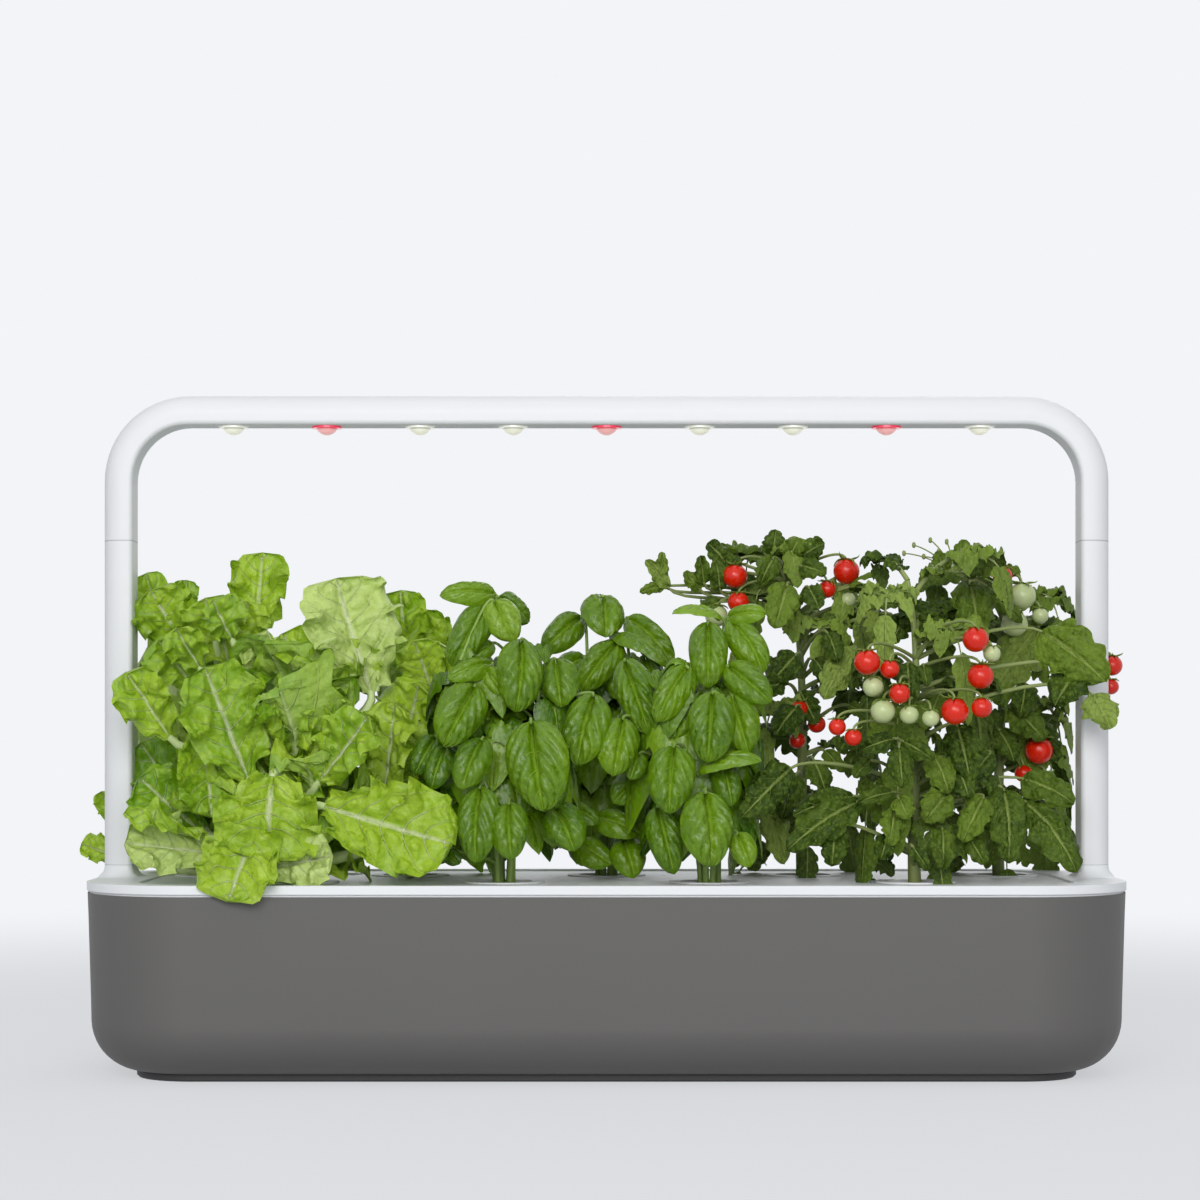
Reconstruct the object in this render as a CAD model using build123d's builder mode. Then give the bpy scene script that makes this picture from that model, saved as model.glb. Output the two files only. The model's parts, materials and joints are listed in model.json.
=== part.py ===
from build123d import *
from math import cos, pi, radians, sin, tan
import os

# Countertop hydroponic garden, in millimetres. +Z is up, the front faces -Y, and the origin is at the
# middle of the base. A water tank carries a lid with nine planted pods and an arched grow lamp.

# Overall
garden_length = 610.0
garden_depth = 210.0
garden_height = 404.0
plan_corner = 65.0  # corner radius of the lid, seen from above

# Base plinth and its anti-slip pads
plinth_setback = 29.0  # from the lid outline
plinth_height = 4.0
plinth_edge = 1.2
pad_radius = 9.0
pad_thickness = 1.6
pad_inset = 26.0  # pad centre from the plinth's sides

# Tank
tank_top = 108.0
tank_wall = 2.6
tank_draft = 1.7  # degrees
tank_edge_radius = 30.0
tank_rim_inset = 0.5  # rim inside the lid outline
tank_ridge_height = 1.4  # ribs along the tank floor
tank_ridge_width = 2.0
tank_ridge_pitch = 60.0
tank_ridge_count = 7

# Lid
lid_gap = 1.0  # shadow line between tank and lip
lip_height = 5.4
lip_rounding = 1.8
seat_inset = 1.6
locating_rib_depth = 8.0
locating_rib_width = 2.0
loose_clearance = 0.5
recess_depth = 1.2
recess_margin = 8.0
recess_end_margin = 33.0
recess_corner = 40.0
lid_plate = 2.6
vent_radius = 1.5
vent_offset = 35.0

# Pods: a back row of five and a front row of four, staggered
pod_pitch = 121.0
pod_row_offset = 40.0
cup_flange_radius = 24.0
cup_flange = 2.0
cup_flange_seat = 1.2  # how deep the flange sits in the lid
cup_opening_radius = 17.0
cup_top_radius = 20.0
cup_foot_radius = 16.5
cup_depth = 50.0
cup_wall = 1.4
cup_slot_width = 6.0
cup_slot_height = 14.0
pod_clearance = 0.4
well_wall = 2.2
well_depth = 9.0
medium_clearance = 0.2
medium_drop = 1.5  # top of the growth medium below the flange

# Water filler and float gauge
filler_x = -166.0
filler_radius = 15.0
gauge_x = -198.0
gauge_y = 58.0
float_cap_radius = 4.5
float_cap_height = 5.0
float_rod_radius = 2.2
float_radius = 9.5
float_height = 18.0
float_chamfer = 1.5
float_cap_edge = 1.0
cage_wall = 1.5
cage_flange = 1.5
cage_slot_width = 5.0
cage_depth = 68.0

# Lamp tube: half round outside, flat towards the plants
tube_radius = 12.0
tube_flat = 6.2  # from the centre of the round to the flat
tube_corner = 3.0
hollow_corner = 0.8
tube_wall = 2.0
tube_margin = 2.6  # tube inside the end of the lid
bend_radius = 51.5  # outside of the arch bends
collar_height = 7.5
collar_flare = 7.0
extension_top = 316.5
spigot_clearance = 0.15
spigot_wall = 1.5
top_spigot = 14.0
spigot_root = 6.0  # thick tube end that carries each spigot
bottom_spigot = 22.0
bottom_spigot_inset = 3.0
socket_wall = 1.5
socket_floor = 2.0

# Lamp cover strip and lenses
strip_width = 16.8
strip_clearance = 0.1
strip_tail = 1.5  # straight end of the strip below each bend
clip_length = 10.0
clip_lip = 0.6
clip_thickness = 0.6
lens_pitch = 56.2
lens_count = 9
red_lenses_at = (1, 4, 7)
lens_rim_radius = 9.0
lens_rim = 1.2
lens_dome_radius = 6.5
lens_dome_height = 4.1
lens_stem_radius = 5.8
lens_hole_clearance = 0.2

# Lamp electronics
chip_size = 5.0
chip_height = 1.0
chip_gap = 0.2  # between a lens and its chip
board_width = 14.0
board_thickness = 1.6
board_end_margin = 16.0
sink_width = 16.0
sink_thickness = 4.0
screw_radius = 1.25
screw_head_radius = 2.2
screw_head_height = 1.2
screw_depth = 4.0
screw_y = 4.5
boss_radius = 2.5
boss_reach = 5.0
fit_clearance = 0.05
control_length = 34.0
control_width = 12.0
insulator_thickness = 1.0
switch_size = 6.0
switch_height = 2.2
switch_floor = 0.6
plunger_radius = 1.55
component_sizes = ((-11.0, 7.0, 7.0, 1.0), (10.5, 6.0, 3.2, 1.4), (13.5, 2.0, 5.0, 0.8))

# Power button
button_x = 20.0
button_radius = 6.0
button_clearance = 0.2
button_travel = 0.8
button_stop_gap = 0.1

# Power inlet and its inner lead
inlet_height = 338.0
inlet_barrel_radius = 3.8
inlet_bore_radius = 2.75
inlet_bore_depth = 7.5
inlet_bore_floor = 1.0
inlet_pin_radius = 1.0
inlet_recess = 0.9  # mouth behind the tube's side
inlet_offset = 0.6
inlet_block_size = (10.0, 9.0, 10.0)
lead_radius = 1.2
lead_clearance = 0.3
lead_y = -5.0

# Worked out from the above
stand = (Align.CENTER, Align.CENTER, Align.MIN)
hang = (Align.CENTER, Align.CENTER, Align.MAX)
half_length = garden_length / 2
half_depth = garden_depth / 2
lip_bottom = tank_top + lid_gap
lid_top = lip_bottom + lip_height
deck_top = lid_top - recess_depth
deck_bottom = deck_top - lid_plate
collar_top = lid_top + collar_height
draft_slope = tan(radians(tank_draft))
tank_height = tank_top - plinth_height
tank_foot_inset = tank_rim_inset + tank_height * draft_slope
rib_inset = tank_rim_inset + tank_wall + locating_rib_depth * draft_slope + loose_clearance
leg_x = half_length - tube_margin - tube_radius  # centre of the round of each leg
bar_z = garden_height - tube_radius  # centre of the round of the top bar
bar_flat_z = bar_z - tube_flat
strip_top = bar_flat_z + tube_wall
chip_bottom = strip_top + chip_height + chip_gap
board_bottom = chip_bottom + chip_height
sink_bottom = board_bottom + board_thickness
sink_top = sink_bottom + sink_thickness
control_bottom = sink_top + insulator_thickness
switch_bottom = control_bottom + board_thickness
switch_top = switch_bottom + switch_height
cap_bottom = switch_top + button_travel + button_stop_gap
lens_places = [(number - (lens_count - 1) / 2) * lens_pitch for number in range(lens_count)]
screw_places = [side * gap * lens_pitch for side in (-1, 1) for gap in (1.5, 3.5)]
clip_places = [side * gap * lens_pitch for side in (-1, 1) for gap in (0.5, 2.5)]
back_row = [(step * pod_pitch, pod_row_offset) for step in (-2, -1, 0, 1, 2)]
front_row = [(step * pod_pitch, -pod_row_offset) for step in (-1.5, -0.5, 0.5, 1.5)]
pod_places = back_row + front_row
cup_flange_top = deck_top - cup_flange_seat + cup_flange
cup_foot = cup_flange_top - cup_flange - cup_depth
medium_top = cup_flange_top - medium_drop

os.makedirs("parts", exist_ok=True)


def keep(builder, name):
    """Label a finished piece and write it."""
    builder.part.label = name
    export_step(builder.part, f"parts/{name}.step")


def lid_outline(inset):
    """The lid's outline, drawn inward by inset."""
    RectangleRounded(garden_length - 2 * inset, garden_depth - 2 * inset, plan_corner - inset)


def d_section(inset, corner=hollow_corner):
    """The lamp tube's section, drawn inward by inset: round side on +X, flat on -X."""
    radius = tube_radius - inset
    flat = tube_flat - inset
    with BuildLine() as outline:
        top = Line((0, radius), (corner - flat, radius))
        top_bend = JernArc(top @ 1, top % 1, corner, 90)
        face = Line(top_bend @ 1, (-flat, corner - radius))
        bottom_bend = JernArc(face @ 1, face % 1, corner, 90)
        bottom = Line(bottom_bend @ 1, (0, -radius))
        JernArc(bottom @ 1, bottom % 1, radius, 180)
    make_face(outline.edges())


def leg_plane(side, height):
    """Level plane on a leg, with its X pointing away from the plants; side is -1 left, 1 right."""
    return Plane(origin=(side * leg_x, 0, height), x_dir=(side, 0, 0), z_dir=(0, 0, 1))


# Plinth: a dark ring that the tank stands on, with inlaid pads
plinth_length = garden_length - 2 * plinth_setback
plinth_depth = garden_depth - 2 * plinth_setback
pad_grid = (plinth_length - 2 * pad_inset, plinth_depth - 2 * pad_inset)

with BuildPart() as base_plinth:
    with BuildSketch():
        lid_outline(plinth_setback)
    extrude(amount=plinth_height)
    chamfer(base_plinth.edges().group_by(Axis.Z)[0], plinth_edge)
    with GridLocations(*pad_grid, 2, 2):
        Cylinder(pad_radius, pad_thickness, align=stand, mode=Mode.SUBTRACT)
keep(base_plinth, "base_plinth")

with BuildPart() as foot_pads:
    with GridLocations(*pad_grid, 2, 2):
        Cylinder(pad_radius, pad_thickness, align=stand)
keep(foot_pads, "foot_pads")

# Tank: drafted tub with a generous bottom edge and low ribs on its floor
with BuildPart() as tank_hollow:
    with BuildSketch(Plane.XY.offset(plinth_height + tank_wall)):
        lid_outline(tank_foot_inset + tank_wall - tank_wall * draft_slope)
    extrude(amount=tank_height, taper=-tank_draft)
    fillet(tank_hollow.edges().group_by(Axis.Z)[0], tank_edge_radius - tank_wall)

with BuildPart() as planter_box:
    with BuildSketch(Plane.XY.offset(plinth_height)):
        lid_outline(tank_foot_inset)
    extrude(amount=tank_height, taper=-tank_draft)
    fillet(planter_box.edges().group_by(Axis.Z)[0], tank_edge_radius)
    add(tank_hollow.part, mode=Mode.SUBTRACT)
    with Locations((0, 0, plinth_height + tank_wall)):
        with GridLocations(tank_ridge_pitch, 0, tank_ridge_count, 1):
            Box(
                tank_ridge_width,
                garden_depth - 2 * (tank_foot_inset + tank_edge_radius),
                tank_ridge_height,
                align=stand,
            )
keep(planter_box, "planter_box")

# Lid: a deck with a recessed middle, nine wells, a filler, a gauge hole and two flared collars
well_radius = cup_top_radius + pod_clearance
flange_seat_radius = cup_flange_radius + pod_clearance
socket_inset = bottom_spigot_inset - spigot_clearance
socket_bottom = collar_top - bottom_spigot - loose_clearance
gauge_hole_radius = float_cap_radius + loose_clearance

with BuildPart() as lid_tray:
    with BuildSketch(Plane.XY.offset(lip_bottom)):
        Rectangle(garden_length + 4 * collar_flare, garden_depth)
    extrude(amount=lip_height)
    for side in (-1, 1):
        with BuildSketch(leg_plane(side, lid_top)):
            d_section(0, tube_corner)
        extrude(amount=collar_height)
    collar_roots = (
        lid_tray.edges()
        .filter_by_position(Axis.Z, lid_top - fit_clearance, lid_top + fit_clearance)
        .filter_by_position(Axis.X, -half_length, half_length)
        .filter_by_position(Axis.Y, -2 * tube_radius, 2 * tube_radius)
    )
    fillet(collar_roots, collar_flare)
    with BuildSketch(Plane.XY.offset(lip_bottom)):
        lid_outline(0)
    extrude(amount=lip_height + collar_height, mode=Mode.INTERSECT)
    fillet(lid_tray.faces().sort_by(Axis.Z)[0].edges(), lip_rounding / 2)
    # recessed middle
    with BuildSketch(Plane.XY.offset(deck_top)):
        RectangleRounded(
            garden_length - 2 * recess_end_margin,
            garden_depth - 2 * recess_margin,
            recess_corner,
        )
    extrude(amount=recess_depth, mode=Mode.SUBTRACT)
    # seat on the tank rim, locating rib inside it, and the pocket under the deck
    with BuildSketch(Plane.XY.offset(tank_top)):
        lid_outline(seat_inset)
    extrude(amount=lid_gap)
    with BuildSketch(Plane.XY.offset(tank_top)):
        lid_outline(rib_inset)
    extrude(amount=-locating_rib_depth)
    with BuildSketch(Plane.XY.offset(deck_bottom)):
        lid_outline(rib_inset + locating_rib_width)
    extrude(amount=-(deck_bottom - tank_top + locating_rib_depth), mode=Mode.SUBTRACT)
    # wells, each with a short collar below the deck
    for pod_x, pod_y in pod_places:
        with Locations((pod_x, pod_y, deck_bottom)):
            Cylinder(well_radius + well_wall, well_depth, align=hang)
    with Locations((filler_x, gauge_y, deck_bottom)):
        Cylinder(filler_radius + well_wall, well_depth, align=hang)
    for pod_x, pod_y in pod_places:
        with Locations((pod_x, pod_y, deck_top)):
            Cylinder(well_radius, well_depth + lid_plate, align=hang, mode=Mode.SUBTRACT)
            Cylinder(flange_seat_radius, cup_flange_seat, align=hang, mode=Mode.SUBTRACT)
        with Locations((pod_x - vent_offset, pod_y, deck_top), (pod_x + vent_offset, pod_y, deck_top)):
            Cylinder(vent_radius, lid_plate, align=hang, mode=Mode.SUBTRACT)
    with Locations((filler_x, gauge_y, deck_top)):
        Cylinder(filler_radius, well_depth + lid_plate, align=hang, mode=Mode.SUBTRACT)
    with Locations((gauge_x, gauge_y, deck_top)):
        Cylinder(gauge_hole_radius, lid_plate, align=hang, mode=Mode.SUBTRACT)
    # sockets for the extension tubes
    for side in (-1, 1):
        with BuildSketch(leg_plane(side, lip_bottom)):
            d_section(socket_inset - socket_wall)
        extrude(amount=socket_bottom - socket_floor - lip_bottom)
        with BuildSketch(leg_plane(side, collar_top)):
            d_section(socket_inset)
        extrude(amount=socket_bottom - collar_top, mode=Mode.SUBTRACT)
keep(lid_tray, "lid_tray")

# Float gauge: a slotted cage under the deck, and a float whose cap rises through the lid
cage_radius = float_radius + loose_clearance + cage_wall
float_bottom = deck_bottom - cage_depth + cage_wall
float_top = float_bottom + float_height
float_cap_top = deck_top + cup_flange - cup_flange_seat

with BuildPart() as float_cage:
    with Locations((gauge_x, gauge_y, deck_bottom)):
        Cylinder(cage_radius, cage_depth, align=hang)
        Cylinder(cage_radius + cage_wall, cage_flange, align=hang)
        Cylinder(cage_radius - cage_wall, cage_depth - cage_wall, align=hang, mode=Mode.SUBTRACT)
    with Locations((gauge_x, gauge_y, float_bottom)):
        slot_height = cage_depth - 3 * cage_wall - 2 * cage_flange
        Box(cage_slot_width, 4 * cage_radius, slot_height, align=stand, mode=Mode.SUBTRACT)
        Box(4 * cage_radius, cage_slot_width, slot_height, align=stand, mode=Mode.SUBTRACT)
keep(float_cage, "float_cage")

with BuildPart() as water_float:
    with Locations((gauge_x, gauge_y, float_bottom)):
        Cylinder(float_radius, float_height, align=stand)
    chamfer(water_float.edges(), float_chamfer)
    with Locations((gauge_x, gauge_y, float_top)):
        Cylinder(float_rod_radius, float_cap_top - float_top - fit_clearance, align=stand)
    with Locations((gauge_x, gauge_y, float_cap_top)):
        Cylinder(float_cap_radius, float_cap_height, align=hang)
    fillet(water_float.edges().group_by(Axis.Z)[-1], float_cap_edge)
keep(water_float, "water_float")

# Extension tubes: hollow, with a spigot at each end
for side, name in ((-1, "left_extension_tube"), (1, "right_extension_tube")):
    with BuildPart() as extension_tube:
        with BuildSketch(leg_plane(side, collar_top)):
            d_section(0, tube_corner)
        extrude(amount=extension_top - collar_top)
        with BuildSketch(leg_plane(side, extension_top)):
            d_section(tube_wall + spigot_clearance)
        extrude(amount=top_spigot)
        with BuildSketch(leg_plane(side, collar_top)):
            d_section(bottom_spigot_inset)
        extrude(amount=-bottom_spigot)
        with BuildSketch(leg_plane(side, collar_top - bottom_spigot)):
            d_section(bottom_spigot_inset + spigot_wall)
        extrude(amount=extension_top + top_spigot - collar_top + bottom_spigot, mode=Mode.SUBTRACT)
        with BuildSketch(leg_plane(side, collar_top + spigot_root)):
            d_section(tube_wall)
        extrude(amount=extension_top - collar_top - 2 * spigot_root, mode=Mode.SUBTRACT)
    keep(extension_tube, name)

# Lamp arch: one D-section tube bent over both legs, open along its flat for the cover strip
slot_half_width = strip_width / 2 + strip_clearance
bend_x = half_length - tube_margin - bend_radius
bend_z = garden_height - bend_radius
strip_end = bend_z - strip_tail


def tube_wall_section():
    """The arch's wall around its hollow."""
    d_section(0, tube_corner)
    with BuildSketch(mode=Mode.PRIVATE) as hollow_section:
        d_section(tube_wall)
    add(hollow_section.sketch, mode=Mode.SUBTRACT)


def strip_section(half_width, mode=Mode.ADD):
    """A strip in the flat wall of the tube."""
    with Locations((tube_wall / 2 - tube_flat, 0)):
        Rectangle(tube_wall, 2 * half_width, mode=mode)


def slotted_wall_section():
    """The arch's wall with the slot for the cover strip."""
    tube_wall_section()
    strip_section(slot_half_width, Mode.SUBTRACT)


def cover_section():
    """The cover strip."""
    strip_section(strip_width / 2)


def arch(draw_section, bottom):
    """A section carried up both legs from bottom, round both bends and along the bar."""
    with BuildPart() as form:
        for side in (-1, 1):
            with BuildSketch(leg_plane(side, bottom)):
                draw_section()
            extrude(amount=bend_z - bottom)
            with BuildSketch(leg_plane(side, bend_z)):
                draw_section()
            revolve(axis=Axis((side * bend_x, 0, bend_z), (0, -side, 0)), revolution_arc=90)
        with BuildSketch(Plane(origin=(-bend_x, 0, bar_z), x_dir=(0, 0, 1), z_dir=(1, 0, 0))):
            draw_section()
        extrude(amount=2 * bend_x)
    return form.part


inlet_x = leg_x + inlet_offset
inlet_mouth = tube_radius - inlet_recess
hole_through = 4 * tube_wall
slotted_arch = arch(slotted_wall_section, strip_end - strip_clearance)

with BuildPart() as arch_housing:
    add(slotted_arch)
    for side in (-1, 1):
        with BuildSketch(leg_plane(side, extension_top)):
            tube_wall_section()
        extrude(amount=strip_end - strip_clearance - extension_top)
    with Locations([(place, screw_y, sink_top) for place in screw_places]):
        Cylinder(boss_radius, boss_reach, align=stand)
        Cylinder(screw_radius + fit_clearance, screw_depth, align=stand, mode=Mode.SUBTRACT)
    with Locations((button_x, 0, bar_z)):
        Cylinder(
            button_radius + button_clearance, 2 * tube_radius, align=stand, mode=Mode.SUBTRACT
        )
    hole_start = (inlet_x, inlet_mouth + hole_through / 2, inlet_height)
    with BuildSketch(Plane(origin=hole_start, z_dir=(0, 1, 0))):
        Circle(inlet_barrel_radius + button_clearance)
    extrude(amount=-hole_through, mode=Mode.SUBTRACT)
keep(arch_housing, "arch_housing")

# Cover strip: closes the flat side of the bar and both bends, and carries the lenses
cover_arch = arch(cover_section, strip_end)
with BuildPart() as arch_inner_cover:
    add(cover_arch)
    with Locations([(place, 0, strip_top) for place in clip_places]):
        Box(clip_length, 2 * (slot_half_width + clip_lip), clip_thickness, align=stand)
    with Locations([(place, 0, bar_flat_z) for place in lens_places]):
        Cylinder(
            lens_stem_radius + lens_hole_clearance, tube_wall, align=stand, mode=Mode.SUBTRACT
        )
keep(arch_inner_cover, "arch_inner_cover")

# Lenses: a stem through the strip, a rim against it and a low dome
dome_curve = (lens_dome_radius**2 + lens_dome_height**2) / (2 * lens_dome_height)
lens_stem = chip_bottom - chip_gap - bar_flat_z
lens_kinds = {
    "clear": [place for number, place in enumerate(lens_places) if number not in red_lenses_at],
    "red": [place for number, place in enumerate(lens_places) if number in red_lenses_at],
}
for kind, places in lens_kinds.items():
    with BuildPart() as lenses:
        for place in places:
            with BuildSketch(Plane(origin=(place, 0, bar_flat_z), x_dir=(1, 0, 0), z_dir=(0, -1, 0))):
                with BuildLine():
                    profile = Polyline(
                        (0, -lens_rim - lens_dome_height),
                        (0, lens_stem),
                        (lens_stem_radius, lens_stem),
                        (lens_stem_radius, 0),
                        (lens_rim_radius, 0),
                        (lens_rim_radius, -lens_rim),
                        (lens_dome_radius, -lens_rim),
                    )
                    RadiusArc(profile @ 1, profile @ 0, dome_curve)
                make_face()
            revolve(axis=Axis((place, 0, 0), (0, 0, 1)))
    keep(lenses, f"{kind}_lenses")
    with BuildPart() as chips:
        with Locations([(place, 0, chip_bottom) for place in places]):
            Box(chip_size, chip_size, chip_height, align=stand)
    keep(chips, f"{kind}_lens_chips")

# Light board on its heat sink, screwed to the arch
board_length = 2 * (lens_places[-1] + board_end_margin)
screw_hole = screw_radius + fit_clearance
for name, width, bottom, thickness in (
    ("led_board", board_width, board_bottom, board_thickness),
    ("heat_sink", sink_width, sink_bottom, sink_thickness),
):
    with BuildPart() as bar:
        with Locations((0, 0, bottom)):
            Box(board_length, width, thickness, align=stand)
        with Locations([(place, screw_y, bottom) for place in screw_places]):
            Cylinder(screw_hole, thickness, align=stand, mode=Mode.SUBTRACT)
    keep(bar, name)

screw_tip = sink_top + screw_depth
with BuildPart() as board_screws:
    with Locations([(place, screw_y, board_bottom) for place in screw_places]):
        Cylinder(screw_radius, screw_tip - board_bottom, align=stand)
        Cylinder(screw_head_radius, screw_head_height, align=hang)
keep(board_screws, "board_screws")

# Control board under the button
with BuildPart() as board_insulator:
    with Locations((button_x, 0, sink_top)):
        Box(control_length, control_width, insulator_thickness, align=stand)
keep(board_insulator, "board_insulator")

with BuildPart() as control_board:
    with Locations((button_x, 0, control_bottom)):
        Box(control_length, control_width, board_thickness, align=stand)
keep(control_board, "control_board")

with BuildPart() as control_components:
    for offset, length, width, height in component_sizes:
        with Locations((button_x + offset, 0, switch_bottom)):
            Box(length, width, height, align=stand)
keep(control_components, "control_components")

with BuildPart() as button_switch:
    with Locations((button_x, 0, switch_bottom)):
        Box(switch_size, switch_size, switch_height, align=stand)
    with Locations((button_x, 0, switch_bottom + switch_floor)):
        Cylinder(plunger_radius + fit_clearance, switch_height, align=stand, mode=Mode.SUBTRACT)
keep(button_switch, "button_switch")

plunger_bottom = switch_bottom + switch_floor + button_travel + button_stop_gap / 2
with BuildPart() as switch_plunger:
    with Locations((button_x, 0, plunger_bottom)):
        Cylinder(plunger_radius, cap_bottom - plunger_bottom, align=stand)
keep(switch_plunger, "switch_plunger")

# Power button: a disc whose top follows the round of the bar
with BuildPart() as power_button:
    with BuildSketch(Plane(origin=(button_x - button_radius, 0, bar_z), z_dir=(1, 0, 0))):
        Circle(tube_radius)
    extrude(amount=2 * button_radius)
    with Locations((button_x, 0, cap_bottom)):
        Cylinder(button_radius, 2 * tube_radius, align=stand, mode=Mode.INTERSECT)
keep(power_button, "power_button")

# Power inlet at the back of the right leg, and the lead from it to the control board
block_x, block_y, block_z = inlet_block_size
barrel_root = inlet_mouth - inlet_bore_depth - inlet_bore_floor
with BuildPart() as dc_inlet:
    with BuildSketch(Plane(origin=(inlet_x, barrel_root, inlet_height), z_dir=(0, 1, 0))):
        Circle(inlet_barrel_radius)
    extrude(amount=inlet_mouth - barrel_root)
    bore_end = (inlet_x, inlet_mouth - inlet_bore_depth, inlet_height)
    with BuildSketch(Plane(origin=bore_end, z_dir=(0, 1, 0))):
        Circle(inlet_bore_radius)
        Circle(inlet_pin_radius, mode=Mode.SUBTRACT)
    extrude(amount=inlet_bore_depth, mode=Mode.SUBTRACT)
    with Locations((inlet_x + inlet_offset, barrel_root, inlet_height)):
        Box(block_x, block_y, block_z, align=(Align.CENTER, Align.MAX, Align.CENTER))
keep(dc_inlet, "dc_inlet")

lead_z = sink_top + lead_clearance + lead_radius
lead_x = bend_x + lead_z - bend_z
with BuildPart() as lamp_lead:
    with BuildLine(Plane.XZ.offset(-lead_y)) as lead_route:
        FilletPolyline(
            (button_x + control_length / 2, lead_z),
            (lead_x, lead_z),
            (lead_x, inlet_height + block_z / 2),
            radius=lead_z - bend_z,
        )
    with BuildSketch(Plane(origin=lead_route.line @ 0, z_dir=(1, 0, 0))):
        Circle(lead_radius)
    sweep(path=lead_route.wire())
keep(lamp_lead, "lamp_lead")

# Pods: cup with a collar and slotted foot, and its growth medium
cup_slope = (cup_top_radius - cup_foot_radius) / cup_depth
medium_foot = cup_foot + cup_wall
for number, (pod_x, pod_y) in enumerate(pod_places, start=1):
    with BuildPart() as pod_cup:
        with Locations((pod_x, pod_y, cup_foot)):
            Cone(cup_foot_radius, cup_top_radius, cup_depth, align=stand)
        with Locations((pod_x, pod_y, cup_foot + cup_depth)):
            Cylinder(cup_flange_radius, cup_flange, align=stand)
            Cylinder(cup_opening_radius, cup_flange, align=stand, mode=Mode.SUBTRACT)
        with Locations((pod_x, pod_y, medium_foot)):
            Cone(
                cup_foot_radius - cup_wall + cup_wall * cup_slope,
                cup_top_radius - cup_wall,
                cup_depth - cup_wall,
                align=stand,
                mode=Mode.SUBTRACT,
            )
        with Locations((pod_x, pod_y, medium_foot)):
            Box(cup_slot_width, 3 * cup_foot_radius, cup_slot_height, align=stand, mode=Mode.SUBTRACT)
            Box(3 * cup_foot_radius, cup_slot_width, cup_slot_height, align=stand, mode=Mode.SUBTRACT)
    keep(pod_cup, f"pod_cup_{number}")

    with BuildPart() as growth_medium:
        with Locations((pod_x, pod_y, medium_foot)):
            Cone(
                cup_foot_radius - cup_wall - medium_clearance,
                cup_top_radius - cup_wall - medium_clearance,
                cup_depth - cup_wall - medium_clearance,
                align=stand,
            )
        with Locations((pod_x, pod_y, medium_top)):
            Cylinder(cup_opening_radius - medium_clearance, cup_flange, align=hang)
    keep(growth_medium, f"growth_medium_{number}")

# Plants. Each stays inside its own upright cell, so that any pod can be lifted straight out.
# A stem is (x, outward, radius, height). A clump of foliage is (x, outward, bottom, top, half width,
# half depth). Both start from the pod's middle and the medium's top; outward is away from the lamp.
lettuce_stems = ((0, 0, 9.0, 40.0),)
basil_stems = ((-7, 2, 2.4, 60.0), (6, 5, 2.2, 60.0), (1, -6, 2.2, 60.0))
tomato_stems = ((0, 0, 3.6, 198.0), (5, 5, 2.2, 60.0))
plants = {
    1: {
        "stems": lettuce_stems,
        "clumps": (
            (-8, 12, 4, 150, 50, 34),
            (-36, -8, 76, 186, 17, 13),
            (30, -8, 80, 198, 16, 11),
        ),
    },
    2: {
        "stems": lettuce_stems,
        "clumps": (
            (9, 8, 4, 144, 36, 38),
            (-3, -16, 84, 176, 15, 10),
        ),
    },
    3: {
        "stems": basil_stems,
        "clumps": (
            (0, 0, 6, 62, 28, 36),
            (0, 4, 26, 150, 36, 40),
            (-13, -22, 96, 172, 14, 11),
        ),
    },
    4: {
        "stems": tomato_stems,
        "clumps": (
            (1, 4, 10, 90, 48, 36),
            (0, 4, 74, 152, 48, 38),
            (-28, 2, 126, 205, 28, 34),
            (29, 8, 130, 184, 25, 33),
        ),
    },
    5: {
        "stems": tomato_stems,
        "clumps": (
            (4, 12, 12, 90, 45, 35),
            (0, 9, 76, 158, 49, 34),
            (-15, 9, 136, 194, 36, 34),
        ),
    },
    6: {
        "stems": lettuce_stems,
        "clumps": (
            (-18, 15, 4, 62, 60, 45),
            (-24, 4, 38, 140, 55, 34),
            (32, -6, 84, 182, 23, 11),
            (-70, 0, 68, 132, 19, 16),
        ),
    },
    7: {
        "stems": basil_stems,
        "clumps": (
            (2, 24, 6, 64, 32, 33),
            (-2, 8, 28, 144, 42, 38),
            (-11, 12, 100, 174, 18, 12),
        ),
    },
    8: {
        "stems": basil_stems,
        "clumps": (
            (-2, 20, 6, 64, 32, 34),
            (-8, 8, 26, 144, 40, 38),
            (12, 12, 96, 162, 18, 12),
        ),
    },
    9: {
        "stems": tomato_stems,
        "clumps": (
            (0, 10, 10, 70, 60, 39),
            (6, 8, 54, 130, 61, 41),
            (14, 0, 112, 188, 51, 34),
            (70, 10, 6, 64, 19, 17),
            (71, -2, 84, 150, 18, 13),
        ),
    },
}
clump_levels = ((0.0, 0.32), (0.22, 0.82), (0.62, 1.0), (1.0, 0.42))  # height and width shares
clump_sides = 14
clump_lobes = 5
clump_lobe_depth = 0.09
cell_gap = 1.5
cell_edge = 1.0  # crowns stay inside the lid outline
leg_gap = 1.5
filler_gap = 2.0  # crowns leave the way down to the filler open
right_front_split = 104.0  # where the front basil and the front tomato meet

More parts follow.
